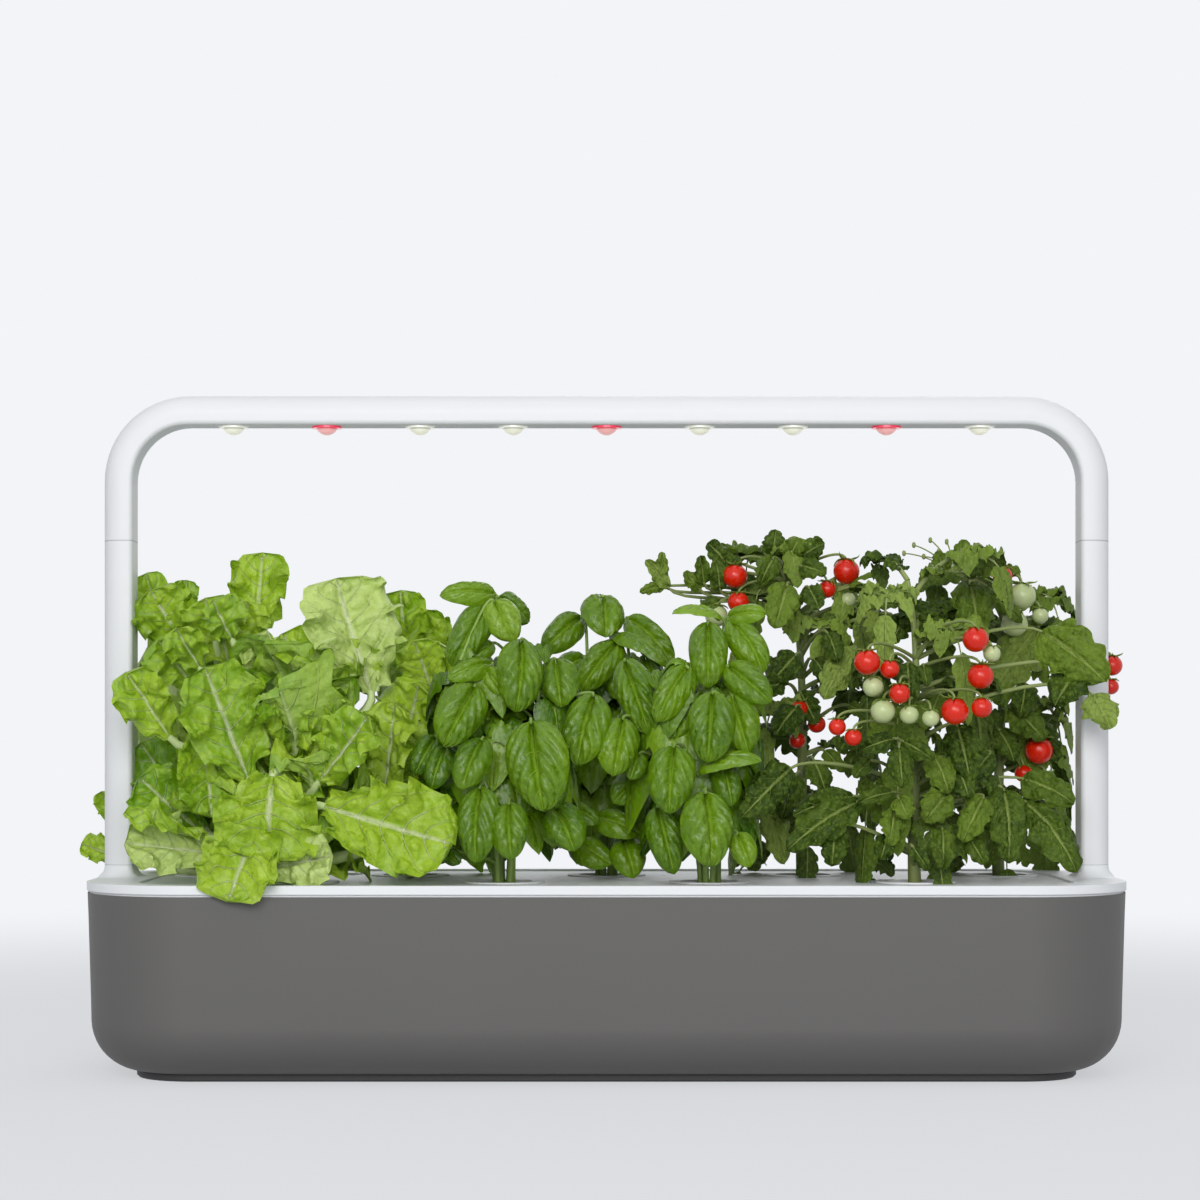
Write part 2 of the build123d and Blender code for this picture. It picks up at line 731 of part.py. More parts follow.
# Tomatoes, as (x, forward, height above the medium, diameter), each on a stalk from its own stem
ripe_fruit = {
    4: (
        (78, 4, 184, 15), (80, 6, 168, 13), (146, 2, 187, 16), (134, 4, 176, 11),
        (117, 5, 103, 11), (128, 0, 94, 11), (116, 2, 84, 10),
    ),
    5: (
        (241, 2, 184, 12), (263, 3, 78, 17), (254, 0, 64, 11), (296, -12, 130, 11), (294, -10, 116, 9),
    ),
    9: (
        (132, 2, 92, 10), (141, 4, 86, 10), (149, 4, 129, 15), (162, 3, 125, 11),
        (167, 9, 111, 12), (199, 5, 101, 16), (214, 8, 103, 12), (211, 4, 142, 15), (214, 2, 121, 15),
    ),
}
green_fruit = {
    4: ((67, 0, 160, 14), (147, -4, 170, 10)),
    5: ((253, 1, 172, 17), (248, 4, 155, 16), (264, 2, 160, 10), (268, -2, 60, 10)),
    9: (
        (153, -2, 115, 12), (158, 4, 101, 14), (173, 4, 99, 11), (185, 7, 97, 10), (221, -1, 134, 10),
    ),
}
fruit_depths = {1: 22.0, -1: 44.0}  # in front of its pod, in the back row and the front row
stalk_radius = 1.3
stalk_rise = 8.0  # a stalk leaves its stem this much above its fruit
fruit_gap = 0.2


def clump(centre_x, centre_y, bottom, top, half_width, half_depth):
    """A lobed mass of foliage: stacked outlines of one shape, narrow at its foot and its top."""
    with BuildPart() as mass:
        for height_share, width_share in clump_levels:
            outline = []
            for step in range(clump_sides):
                angle = 2 * pi * step / clump_sides
                reach = width_share * (1 - clump_lobe_depth * (1 - cos(clump_lobes * angle)) / 2)
                side_x = half_width * reach * cos(angle)
                side_y = half_depth * reach * sin(angle)
                outline.append((centre_x + side_x, centre_y + side_y))
            with BuildSketch(Plane.XY.offset(bottom + height_share * (top - bottom))):
                with BuildLine():
                    Polyline(*outline, close=True)
                make_face()
        loft(ruled=True)
    return mass.part


def cell(number, pod_x, pod_y):
    """Corners of the upright cell that a plant keeps to."""
    row = 1 if pod_y > 0 else -1
    low_x = max(pod_x - pod_pitch / 2 + cell_gap, cell_edge - half_length)
    high_x = min(pod_x + pod_pitch / 2 - cell_gap, half_length - cell_edge)
    near_y = cell_gap
    if row > 0 and abs(pod_x) > pod_pitch:
        near_y = tube_radius + leg_gap
    if row > 0 and pod_x < filler_x:
        high_x = min(high_x, filler_x - filler_radius - filler_gap)
    if row > 0 and pod_x > filler_x:
        low_x = max(low_x, filler_x + filler_radius + filler_gap)
    if number == len(back_row) + 1:
        low_x = tube_flat - leg_x + tube_radius
    if number == len(pod_places) - 1:
        high_x = right_front_split - cell_gap
    if number == len(pod_places):
        low_x = right_front_split + cell_gap
        high_x = leg_x - tube_radius - tube_flat
    far_y = half_depth - cell_edge
    return low_x, high_x, min(row * near_y, row * far_y), max(row * near_y, row * far_y)


for number, (pod_x, pod_y) in enumerate(pod_places, start=1):
    row = 1 if pod_y > 0 else -1
    low_x, high_x, low_y, high_y = cell(number, pod_x, pod_y)
    clumps = [
        clump(
            pod_x + x,
            pod_y + row * outward,
            medium_top + bottom,
            medium_top + top,
            crown_width,
            crown_depth,
        )
        for x, outward, bottom, top, crown_width, crown_depth in plants[number]["clumps"]
    ]
    fruit = {
        ripeness: [
            (Vector(x, pod_y - fruit_depths[row] - forward, medium_top + height), diameter / 2)
            for x, forward, height, diameter in places.get(number, ())
        ]
        for ripeness, places in (("ripe", ripe_fruit), ("green", green_fruit))
    }

    with BuildPart() as plant:
        for piece in clumps:
            add(piece)
        with Locations(((low_x + high_x) / 2, (low_y + high_y) / 2, medium_top)):
            Box(high_x - low_x, high_y - low_y, garden_height, align=stand, mode=Mode.INTERSECT)
        for x, outward, radius, height in plants[number]["stems"]:
            with Locations((pod_x + x, pod_y + row * outward, medium_top)):
                Cylinder(radius, height, align=stand)
        for place, radius in fruit["ripe"] + fruit["green"]:
            stalk = Vector(pod_x, pod_y, place.Z + stalk_rise) - place
            with BuildSketch(Plane(origin=place, z_dir=stalk)):
                Circle(stalk_radius)
            extrude(amount=stalk.length)
        for place, radius in fruit["ripe"] + fruit["green"]:
            with Locations(place):
                Sphere(radius + fruit_gap, mode=Mode.SUBTRACT)
    keep(plant, f"plant_{number}")

    for ripeness, places in fruit.items():
        if places:
            with BuildPart() as tomatoes:
                for place, radius in places:
                    with Locations(place):
                        Sphere(radius)
            keep(tomatoes, f"{ripeness}_tomatoes_{number}")
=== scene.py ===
import json
import math

import bpy
import numpy as np
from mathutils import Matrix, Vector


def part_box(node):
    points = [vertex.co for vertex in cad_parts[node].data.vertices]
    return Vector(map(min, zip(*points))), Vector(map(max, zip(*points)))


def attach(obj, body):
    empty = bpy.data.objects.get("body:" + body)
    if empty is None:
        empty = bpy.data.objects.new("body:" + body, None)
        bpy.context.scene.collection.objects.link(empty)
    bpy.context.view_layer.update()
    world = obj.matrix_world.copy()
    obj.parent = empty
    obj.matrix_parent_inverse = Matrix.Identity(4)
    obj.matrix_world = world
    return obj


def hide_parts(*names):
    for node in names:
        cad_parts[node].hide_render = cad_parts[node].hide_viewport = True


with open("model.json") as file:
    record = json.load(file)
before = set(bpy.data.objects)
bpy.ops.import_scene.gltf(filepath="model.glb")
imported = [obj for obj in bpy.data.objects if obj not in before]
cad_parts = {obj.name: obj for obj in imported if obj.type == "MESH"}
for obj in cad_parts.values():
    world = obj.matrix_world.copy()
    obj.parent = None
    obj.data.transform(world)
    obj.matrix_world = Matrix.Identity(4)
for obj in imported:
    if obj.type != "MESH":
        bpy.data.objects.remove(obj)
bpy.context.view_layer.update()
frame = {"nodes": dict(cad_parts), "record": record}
nodes = frame["nodes"]
scene = bpy.context.scene
print("frame loaded")

view = {
    "imageSize": 1200.0,      # the image is taken as this many pixels each way
    "centreColumn": 606.6,    # column of the object's middle
    "horizonRow": 736.0,
    "focalPixels": 2819.5,
    "distance": 1.700,
    "height": 0.1993,
    "sensor": 36.0,
    "clip": (0.05, 50.0),
}

camera = bpy.data.objects.new("camera", bpy.data.cameras.new("camera"))
scene.collection.objects.link(camera)
camera.location = (0, -view["distance"], view["height"])
camera.rotation_euler = (math.pi / 2, 0, 0)
camera.data.sensor_width = view["sensor"]
camera.data.lens = view["focalPixels"] / view["imageSize"] * view["sensor"]
camera.data.shift_x = 0.5 - view["centreColumn"] / view["imageSize"]
camera.data.shift_y = view["horizonRow"] / view["imageSize"] - 0.5
camera.data.clip_start, camera.data.clip_end = view["clip"]
scene.camera = camera
scene.view_settings.view_transform = "Standard"


class Number:  # a number socket that can stand in a sum, on either side of it
    def __init__(self, surface, socket):
        self.surface = surface
        self.socket = socket

    def __add__(self, other):
        return self.surface.calc("ADD", self, other)

    __radd__ = __add__

    def __sub__(self, other):
        return self.surface.calc("SUBTRACT", self, other)

    def __rsub__(self, other):
        return self.surface.calc("SUBTRACT", other, self)

    def __mul__(self, other):
        return self.surface.calc("MULTIPLY", self, other)

    __rmul__ = __mul__

    def __truediv__(self, other):
        return self.surface.calc("DIVIDE", self, other)

    def __pow__(self, other):
        return self.surface.calc("POWER", self, other)


class Surface:  # a node material while it is built
    def __init__(self, name, world=None):
        self.owner = world or bpy.data.materials.new(name)
        self.owner.use_nodes = True
        self.tree = self.owner.node_tree
        self.tree.nodes.clear()
        kind = "ShaderNodeOutputWorld" if world else "ShaderNodeOutputMaterial"
        self.output = self.tree.nodes.new(kind)

    def node(self, kind, settings=None, inputs=None):
        made = self.tree.nodes.new(kind)
        for key, value in (settings or {}).items():
            setattr(made, key, value)
        for key, value in (inputs or {}).items():
            if isinstance(value, Number):
                value = value.socket
            if isinstance(value, bpy.types.NodeSocket):
                self.tree.links.new(value, made.inputs[key])
            elif isinstance(value, tuple) and len(value) == 3 and made.inputs[key].type == "RGBA":
                made.inputs[key].default_value = (*value, 1.0)
            else:
                made.inputs[key].default_value = value
        return made

    def calc(self, operation, *values, clamp=False):
        made = self.node(
            "ShaderNodeMath", {"operation": operation, "use_clamp": clamp}, dict(enumerate(values))
        )
        return Number(self, made.outputs[0])

    def clamp(self, value):
        return self.calc("MULTIPLY", value, 1.0, clamp=True)

    def step(self, value, low, high):
        # 0 below low, 1 above high, smooth between
        made = self.node(
            "ShaderNodeMapRange",
            {"interpolation_type": "SMOOTHSTEP"},
            {"Value": value, "From Min": low, "From Max": high},
        )
        return Number(self, made.outputs["Result"])

    def mix(self, share, first, second):
        made = self.node("ShaderNodeMix", {"data_type": "RGBA"}, {0: share, 6: first, 7: second})
        return made.outputs[2]

    def place(self):
        return self.node("ShaderNodeTexCoord").outputs["Object"]

    def axis(self, name, at=None):
        # one coordinate of a place, or of the leaf map
        made = self.node("ShaderNodeSeparateXYZ", None, {0: at or self.place()})
        return Number(self, made.outputs[name])

    def leafMap(self):
        return self.node("ShaderNodeUVMap").outputs[0]

    def mark(self, name):
        # a value that the mesh keeps for each point
        return Number(self, self.node("ShaderNodeAttribute", {"attribute_name": name}).outputs["Fac"])

    def stretched(self, scale):
        # the place scaled by a different number along each axis
        return self.node("ShaderNodeMapping", None, {"Vector": self.place(), "Scale": scale}).outputs[0]

    def noise(self, scale, detail=3.0, roughness=0.55, at=None):
        made = self.node(
            "ShaderNodeTexNoise",
            None,
            {"Vector": at or self.place(), "Scale": scale, "Detail": detail, "Roughness": roughness},
        )
        return Number(self, made.outputs["Fac"])

    def bump(self, height, strength, distance):
        made = self.node(
            "ShaderNodeBump", None, {"Height": height, "Strength": strength, "Distance": distance}
        )
        return made.outputs["Normal"]

    def principled(self, **inputs):
        named = {key.replace("_", " "): value for key, value in inputs.items()}
        return self.node("ShaderNodeBsdfPrincipled", None, named).outputs["BSDF"]

    def finish(self, shader):
        self.tree.links.new(shader, self.output.inputs["Surface"])
        return self.owner


def srgb(red, green, blue):
    # linear colour of an 8-bit screen colour
    parts = np.array((red, green, blue)) / 255
    parts = np.where(parts > 0.04045, ((parts + 0.055) / 1.055) ** 2.4, parts / 12.92)
    return tuple(float(part) for part in parts)


studio = {
    "floorSize": 8.0,
    "floorColour": srgb(205, 207, 210),
    "floorGrain": (0.7, 0.7, 0.7),
    "floorGrainShare": 0.04,
    "floorGlow": 0.6,         # share of the floor that shows the backdrop's colour to the camera
    "floorFade": (0.5, 1.7),  # distance at which the floor starts to fade into the backdrop, and ends
    "skyColour": (0.89, 0.905, 0.93),
    "skyFill": 0.4,
    # name: place, size, power
    "lamps": {
        "keyLamp": ((-0.5, -2.45, 1.2), 1.4, 26.5),
        "fillLamp": ((0.55, -2.5, 0.8), 1.4, 16.0),
        "topLamp": ((0.1, -0.2, 2.3), 1.8, 5.0),
        "backLamp": ((0.6, 2.1, 1.6), 1.5, 7.5),
    },
    "aim": (0.0, 0.0, 0.18),
}


def seenRays(surface):
    # 1 on camera, glossy and transmission rays, 0 on the rays that light the object
    path = surface.node("ShaderNodeLightPath")
    seen = surface.calc("MAXIMUM", path.outputs["Is Camera Ray"], path.outputs["Is Glossy Ray"])
    return surface.calc("MAXIMUM", seen, path.outputs["Is Transmission Ray"])


def buildStudio():
    world = bpy.data.worlds.new("studio")
    scene.world = world
    sky = Surface("studio", world)
    strength = seenRays(sky) * (1.0 - studio["skyFill"]) + studio["skyFill"]
    colour = {"Color": studio["skyColour"], "Strength": strength}
    sky.finish(sky.node("ShaderNodeBackground", None, colour).outputs[0])

    half = studio["floorSize"] / 2
    floorMesh = bpy.data.meshes.new("floor")
    corners = [(-half, -half, 0), (half, -half, 0), (half, half, 0), (-half, half, 0)]
    floorMesh.from_pydata(corners, [], [(0, 1, 2, 3)])
    floor = bpy.data.objects.new("floor", floorMesh)
    scene.collection.objects.link(floor)
    # To the camera the floor is part diffuse and part backdrop colour, and wholly backdrop far out.
    paint = Surface("paleFloor")
    grain = paint.noise(60.0)
    tint = paint.mix(grain * studio["floorGrainShare"], studio["floorColour"], studio["floorGrain"])
    diffuse = paint.node("ShaderNodeBsdfDiffuse", None, {"Color": tint}).outputs[0]
    backdrop = paint.node("ShaderNodeEmission", None, {"Color": studio["skyColour"], "Strength": 1.0})
    far = paint.node("ShaderNodeVectorMath", {"operation": "LENGTH"}, {0: paint.place()})
    far = Number(paint, far.outputs["Value"])
    glow = paint.step(far, *studio["floorFade"]) * (1.0 - studio["floorGlow"]) + studio["floorGlow"]
    share = glow * seenRays(paint)
    both = paint.node("ShaderNodeMixShader", None, {0: share, 1: diffuse, 2: backdrop.outputs[0]})
    floorMesh.materials.append(paint.finish(both.outputs[0]))

    for name, (place, size, power) in studio["lamps"].items():
        lamp = bpy.data.lights.new(name, "AREA")
        lamp.shape = "DISK"
        lamp.size = size
        lamp.energy = power
        holder = bpy.data.objects.new(name, lamp)
        scene.collection.objects.link(holder)
        holder.location = place
        aim = np.array(studio["aim"]) - np.array(place)
        holder.rotation_euler = (
            math.atan2(math.hypot(aim[0], aim[1]), -aim[2]),
            0,
            math.atan2(aim[1], aim[0]) - math.pi / 2,
        )


buildStudio()
print("studio built")


def mouldedPlastic(name, colour, roughness, grainSize=900.0, grainDepth=0.00005, shade=0.06):
    # Colour with a faint cloud, roughness with a fine cloud, and a fine moulded grain as bump
    skin = Surface(name)
    cloud = skin.noise(14.0, 2.0)
    fine = skin.noise(grainSize, 2.0, 0.6)
    dark = tuple(c * (1 - shade) for c in colour)
    light = tuple(min(c * (1 + shade), 1.0) for c in colour)
    return skin.finish(
        skin.principled(
            Base_Color=skin.mix(cloud, dark, light),
            Roughness=cloud * 0.08 + fine * 0.08 + (roughness - 0.08),
            Normal=skin.bump(fine, 0.35, grainDepth),
        )
    )


seamLook = {
    "low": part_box("lid_tray")[1].z,  # top of the collars
    "high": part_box("arch_housing")[0].z,
    "halfWidth": 0.0005,
    "colour": srgb(188, 191, 196),
}


def tubeFinish():
    # Satin white with a fine grain, and a thin shadow where |Z - seam height| is under half a width
    skin = Surface("tubeWhite")
    away = [skin.calc("ABSOLUTE", skin.axis("Z") - seamLook[end]) for end in ("low", "high")]
    seam = skin.step(skin.calc("MINIMUM", *away), seamLook["halfWidth"], seamLook["halfWidth"] * 0.4)
    cloud = skin.noise(14.0, 2.0)
    fine = skin.noise(1300.0, 2.0, 0.6)
    paint = skin.mix(cloud, srgb(232, 233, 235), srgb(236, 237, 239))
    return skin.finish(
        skin.principled(
            Base_Color=skin.mix(seam, paint, seamLook["colour"]),
            Roughness=cloud * 0.08 + fine * 0.08 + 0.4,
            Normal=skin.bump(fine, 0.35, 0.00002),
        )
    )


def tankFinish():
    # Matte warm grey with a fine spark-eroded grain, a little darker in the last centimetres above the foot
    skin = Surface("tankGrey")
    grain = skin.noise(1300.0, 3.0, 0.65)
    cloud = skin.noise(9.0, 3.0)
    foot = skin.step(skin.axis("Z"), 0.06, 0.0)
    base = skin.mix(cloud, srgb(88, 87, 85), srgb(95, 94, 92))
    base = skin.mix(foot * 0.25, base, srgb(88, 86, 86))
    return skin.finish(
        skin.principled(
            Base_Color=skin.mix(grain * 0.18, base, srgb(116, 114, 112)),
            Roughness=grain * 0.18 + cloud * 0.08 + 0.44,
            Normal=skin.bump(grain, 0.5, 0.00008),
        )
    )


def brushedMetal(name, colour, roughness):
    # Drawn metal: noise stretched along X darkens it and turns its gloss
    skin = Surface(name)
    lines = skin.noise(1.0, 3.0, 0.6, skin.stretched((30.0, 900.0, 900.0)))
    dark = tuple(c * 0.75 for c in colour)
    return skin.finish(
        skin.principled(
            Base_Color=skin.mix(lines, dark, colour),
            Metallic=1.0,
            Roughness=lines * 0.2 + (roughness - 0.1),
            Normal=skin.bump(lines, 0.3, 0.00003),
        )
    )


def boardFinish():
    # Green solder mask over faint copper tracks along X
    skin = Surface("circuitBoard")
    tracks = skin.step(skin.noise(1.0, 1.0, 0.5, skin.stretched((60.0, 700.0, 200.0))), 0.52, 0.56)
    return skin.finish(
        skin.principled(
            Base_Color=skin.mix(tracks, (0.015, 0.11, 0.045), (0.03, 0.2, 0.07)),
            Roughness=tracks * 0.1 + 0.3,
            Normal=skin.bump(tracks, 0.4, 0.00005),
        )
    )


lensLook = {"pitch": 0.0562, "rimStart": (0.0064, 0.0068), "ring": 0.0065, "ringWidth": 0.0006}


def lensFinish(name, dome, rim, ring):
    # The distance to the nearest lens axis tells the glowing dome from the rim, with a thin darker ring
    # where they meet: hypot(x - nearest multiple of the pitch, y).
    skin = Surface(name)
    turns = skin.calc("FRACT", skin.axis("X") / lensLook["pitch"] + 0.5)
    beside = (turns - 0.5) * lensLook["pitch"]
    deep = skin.axis("Y")
    reach = (beside * beside + deep * deep) ** 0.5
    onRim = skin.step(reach, *lensLook["rimStart"])
    onRing = skin.step(skin.calc("ABSOLUTE", reach - lensLook["ring"]), lensLook["ringWidth"], 0.0)
    cloud = skin.noise(260.0, 2.0)
    tint = skin.mix(onRing * 0.8, skin.mix(onRim, dome, rim), ring)
    return skin.finish(
        skin.principled(
            Base_Color=tint,
            Roughness=cloud * 0.08 + 0.12,
            Emission_Color=tint,
            Emission_Strength=0.42,
            Coat_Weight=0.4,
            Normal=skin.bump(cloud, 0.15, 0.0002),
        )
    )


def chipFinish(name, colour, glow):
    # Phosphor square that glows softly, brighter in its grains
    skin = Surface(name)
    grains = skin.noise(2500.0, 2.0)
    tint = skin.mix(grains, tuple(c * 0.8 for c in colour), colour)
    return skin.finish(
        skin.principled(
            Base_Color=tint, Emission_Color=tint, Emission_Strength=glow, Roughness=grains * 0.2 + 0.3
        )
    )


finishes = {
    "tank_grey": tankFinish(),
    "plinth_dark": mouldedPlastic("plinthDark", srgb(58, 56, 57), 0.6),
    "pad_rubber": mouldedPlastic("padRubber", srgb(38, 38, 38), 0.75, 500.0, 0.0001),
    "lid_white": mouldedPlastic("lidWhite", srgb(238, 240, 242), 0.42, 1100.0, 0.00003, 0.015),
    "tube_white": tubeFinish(),
    "strip_white": mouldedPlastic("stripWhite", srgb(226, 229, 234), 0.45, 1100.0, 0.00003, 0.02),
    "button_white": mouldedPlastic("buttonWhite", srgb(232, 234, 236), 0.4, 1200.0, 0.00002, 0.02),
    "lens_clear": lensFinish("lensClear", srgb(236, 235, 218), srgb(214, 215, 204), srgb(158, 160, 150)),
    "lens_red": lensFinish("lensRed", srgb(240, 178, 178), srgb(226, 52, 84), srgb(214, 30, 66)),
    "chip_white": chipFinish("chipWhite", (1.0, 0.96, 0.84), 2.0),
    "chip_red": chipFinish("chipRed", (1.0, 0.12, 0.12), 2.0),
    "circuit_board": boardFinish(),
    "component_black": mouldedPlastic("componentBlack", srgb(34, 34, 36), 0.45, 1500.0, 0.00004, 0.2),
    "switch_body": mouldedPlastic("switchBody", srgb(48, 48, 50), 0.5, 1500.0, 0.00004, 0.2),
    "insulator": mouldedPlastic("insulatorFilm", srgb(200, 196, 180), 0.5, 800.0, 0.00005, 0.1),
    "sink_metal": brushedMetal("sinkMetal", (0.78, 0.79, 0.8), 0.35),
    "screw_steel": brushedMetal("screwSteel", (0.62, 0.62, 0.62), 0.3),
    "inlet_black": mouldedPlastic("inletBlack", srgb(34, 34, 37), 0.35, 1200.0, 0.00004, 0.2),
    "lead_sheath": mouldedPlastic("leadSheath", srgb(214, 214, 214), 0.55, 900.0, 0.00005, 0.05),
    "cage_plastic": mouldedPlastic("cagePlastic", srgb(226, 228, 230), 0.45, 900.0, 0.00004, 0.04),
    "float_plastic": mouldedPlastic("floatBlue", srgb(60, 130, 205), 0.35, 900.0, 0.00004, 0.08),
    "cup_white": mouldedPlastic("cupWhite", srgb(236, 238, 238), 0.45, 900.0, 0.00004, 0.02),
}


def smoothGroup(angle):
    # Geometry nodes that shade smooth except across edges sharper than angle
    group = bpy.data.node_groups.new("smoothShading", "GeometryNodeTree")
    group.interface.new_socket("Geometry", in_out="INPUT", socket_type="NodeSocketGeometry")
    group.interface.new_socket("Geometry", in_out="OUTPUT", socket_type="NodeSocketGeometry")
    start = group.nodes.new("NodeGroupInput")
    end = group.nodes.new("NodeGroupOutput")
    faces = group.nodes.new("GeometryNodeSetShadeSmooth")
    edges = group.nodes.new("GeometryNodeSetShadeSmooth")
    edges.domain = "EDGE"
    bend = group.nodes.new("GeometryNodeInputMeshEdgeAngle")
    soft = group.nodes.new("FunctionNodeCompare")
    soft.operation = "LESS_THAN"
    soft.inputs[1].default_value = angle
    group.links.new(bend.outputs["Unsigned Angle"], soft.inputs[0])
    group.links.new(start.outputs[0], faces.inputs["Geometry"])
    group.links.new(faces.outputs[0], edges.inputs["Geometry"])
    group.links.new(soft.outputs[0], edges.inputs["Shade Smooth"])
    group.links.new(edges.outputs[0], end.inputs[0])
    return group


hardSmoothing = smoothGroup(math.radians(32))
leafSmoothing = smoothGroup(math.radians(75))
weldReach = 1e-6


def smooth(piece, group):
    # joins loose corners first, so that the shading runs on from face to face
    piece.modifiers.new("weld", "WELD").merge_threshold = weldReach
    piece.modifiers.new("smooth", "NODES").node_group = group


for part in frame["record"]["subparts"]:
    finish = finishes.get(part["material_slot"])
    if finish:
        piece = nodes[part["node"]]
        piece.data.materials.clear()
        piece.data.materials.append(finish)
        smooth(piece, hardSmoothing)
        piece.modifiers.new("facets", "WEIGHTED_NORMAL").keep_sharp = True
print("hard pieces finished")

# plants and plugs, with lengths in millimetres until a piece is built
millimetre = 0.001


def unit(vectors):
    return vectors / np.maximum(np.linalg.norm(vectors, axis=-1, keepdims=True), 1e-9)


def curve(points, count):  # Bezier curve: the control points weighted by the Bernstein polynomials
    t = np.linspace(0, 1, count)[:, None]
    order = len(points) - 1
    return sum(
        math.comb(order, k) * t**k * (1 - t) ** (order - k) * np.asarray(point, float)
        for k, point in enumerate(points)
    )


def gridQuads(number):
    # the four corners of each cell in a grid of point numbers
    return np.stack((number[:-1, :-1], number[:-1, 1:], number[1:, 1:], number[1:, :-1]), axis=-1)


def ringQuads(rings, sides):
    # cells of a grid whose last column meets its first
    number = np.arange(rings * sides).reshape(rings, sides)
    return gridQuads(np.concatenate((number, number[:, :1]), axis=1))


def evenMap(rows, columns):
    # how far across and along a grid each of its points is
    across, along = np.meshgrid(np.linspace(0, 1, columns), np.linspace(0, 1, rows))
    return np.stack((across, along), axis=-1)


pointRadius = 0.0001                    # the closed ends of a tube
asideWay = np.array((0.31, -0.87, 0.38))  # a way that no stem takes, to square its profile to
poleGap = 0.003                         # polar angle of a ball's first ring


class Growth:
    # gathers grids of points into one mesh, with a leaf map (across, along), a tone and an underside mark
    def __init__(self):
        self.points, self.maps, self.tones, self.unders = [], [], [], []
        self.quads, self.fills, self.size = [], [], 0

    def add(self, points, leafMap, tone, under, quads, fill):
        self.points.append(points.reshape(-1, 3))
        self.maps.append(leafMap.reshape(-1, 2))
        self.tones.append(np.broadcast_to(tone, len(self.points[-1])).astype(float))
        self.unders.append(np.broadcast_to(under, len(self.points[-1])).astype(float))
        self.quads.append(quads.reshape(-1, 4) + self.size)
        self.fills.append(np.full(len(self.quads[-1]), fill))
        self.size += len(self.points[-1])

    def sheet(self, top, thickness, tone):
        # a thin closed leaf: the grid and a copy of it moved down its normal, sharing one margin
        rows, columns = top.shape[:2]
        normal = unit(np.cross(np.gradient(top, axis=1), np.gradient(top, axis=0)))
        inner = np.zeros((rows, columns), bool)
        inner[1:-1, 1:-1] = True
        low = (top - normal * thickness)[inner]
        number = np.arange(rows * columns).reshape(rows, columns)
        under = number.copy()
        under[inner] = rows * columns + np.arange(inner.sum())
        leafMap = evenMap(rows, columns)
        self.add(
            np.concatenate((top.reshape(-1, 3), low)),
            np.concatenate((leafMap.reshape(-1, 2), leafMap[inner])),
            tone,
            np.concatenate((np.zeros(rows * columns), np.ones(len(low)))),
            np.concatenate((gridQuads(number)[..., ::-1], gridQuads(under))),
            0,
        )

    def tube(self, path, radii, tone=0.5, fill=1, sides=8):
        # a round profile carried along the path; the last ring at each end shrinks to a point
        path = np.asarray(path, float)
        radii = np.broadcast_to(np.asarray(radii, float), len(path)).copy()
        path = np.concatenate((path[:1], path, path[-1:]))
        radii = np.concatenate(((pointRadius,), radii, (pointRadius,)))
        tangent = unit(np.gradient(path[1:-1], axis=0))
        tangent = np.concatenate((tangent[:1], tangent, tangent[-1:]))
        side = unit(np.cross(tangent, asideWay))
        up = np.cross(tangent, side)
        angle = np.linspace(0, 2 * np.pi, sides, endpoint=False)
        ring = np.cos(angle)[None, :, None] * side[:, None] + np.sin(angle)[None, :, None] * up[:, None]
        points = path[:, None] + radii[:, None, None] * ring
        self.add(points, evenMap(len(path), sides), tone, 0.0, ringQuads(len(path), sides), fill)

    def ball(self, centre, reach, tone=0.5, fill=0, rings=20, sides=28):
        # reach(polar, turn) gives the radius over polar angle and turn; each pole is one tiny ring
        polar = np.linspace(poleGap, np.pi - poleGap, rings)[:, None]
        turn = np.linspace(0, 2 * np.pi, sides, endpoint=False)[None]
        radius = reach(polar, turn)
        points = np.asarray(centre) + radius[..., None] * np.stack(
            (np.sin(polar) * np.cos(turn), np.sin(polar) * np.sin(turn), np.cos(polar) + 0 * turn), axis=-1
        )
        outward = ringQuads(rings, sides)[..., (0, 3, 2, 1)]
        self.add(points, evenMap(rings, sides), tone, 0.0, outward, fill)

    def draw(self, fit):
        self.points = [fit(points) for points in self.points]

    def build(self, name, materials):
        points = np.concatenate(self.points)
        quads = np.concatenate(self.quads)
        mesh = bpy.data.meshes.new(name)
        mesh.vertices.add(len(points))
        mesh.vertices.foreach_set("co", (points * millimetre).ravel())
        mesh.loops.add(quads.size)
        mesh.loops.foreach_set("vertex_index", quads.ravel())
        mesh.polygons.add(len(quads))
        mesh.polygons.foreach_set("loop_start", np.arange(len(quads)) * 4)
        mesh.polygons.foreach_set("material_index", np.concatenate(self.fills))
        mesh.polygons.foreach_set("use_smooth", np.ones(len(quads), bool))
        mesh.update(calc_edges=True)
        leafMap = np.concatenate(self.maps)[quads.ravel()]
        mesh.uv_layers.new(name="leafMap").data.foreach_set("uv", leafMap.ravel())
        for key, values in (("tone", self.tones), ("under", self.unders)):
            mesh.attributes.new(key, "FLOAT", "POINT").data.foreach_set("value", np.concatenate(values))
        for material in materials:
            mesh.materials.append(material)
        mesh.validate()
        piece = bpy.data.objects.new(name, mesh)
        scene.collection.objects.link(piece)
        smooth(piece, leafSmoothing)
        return piece


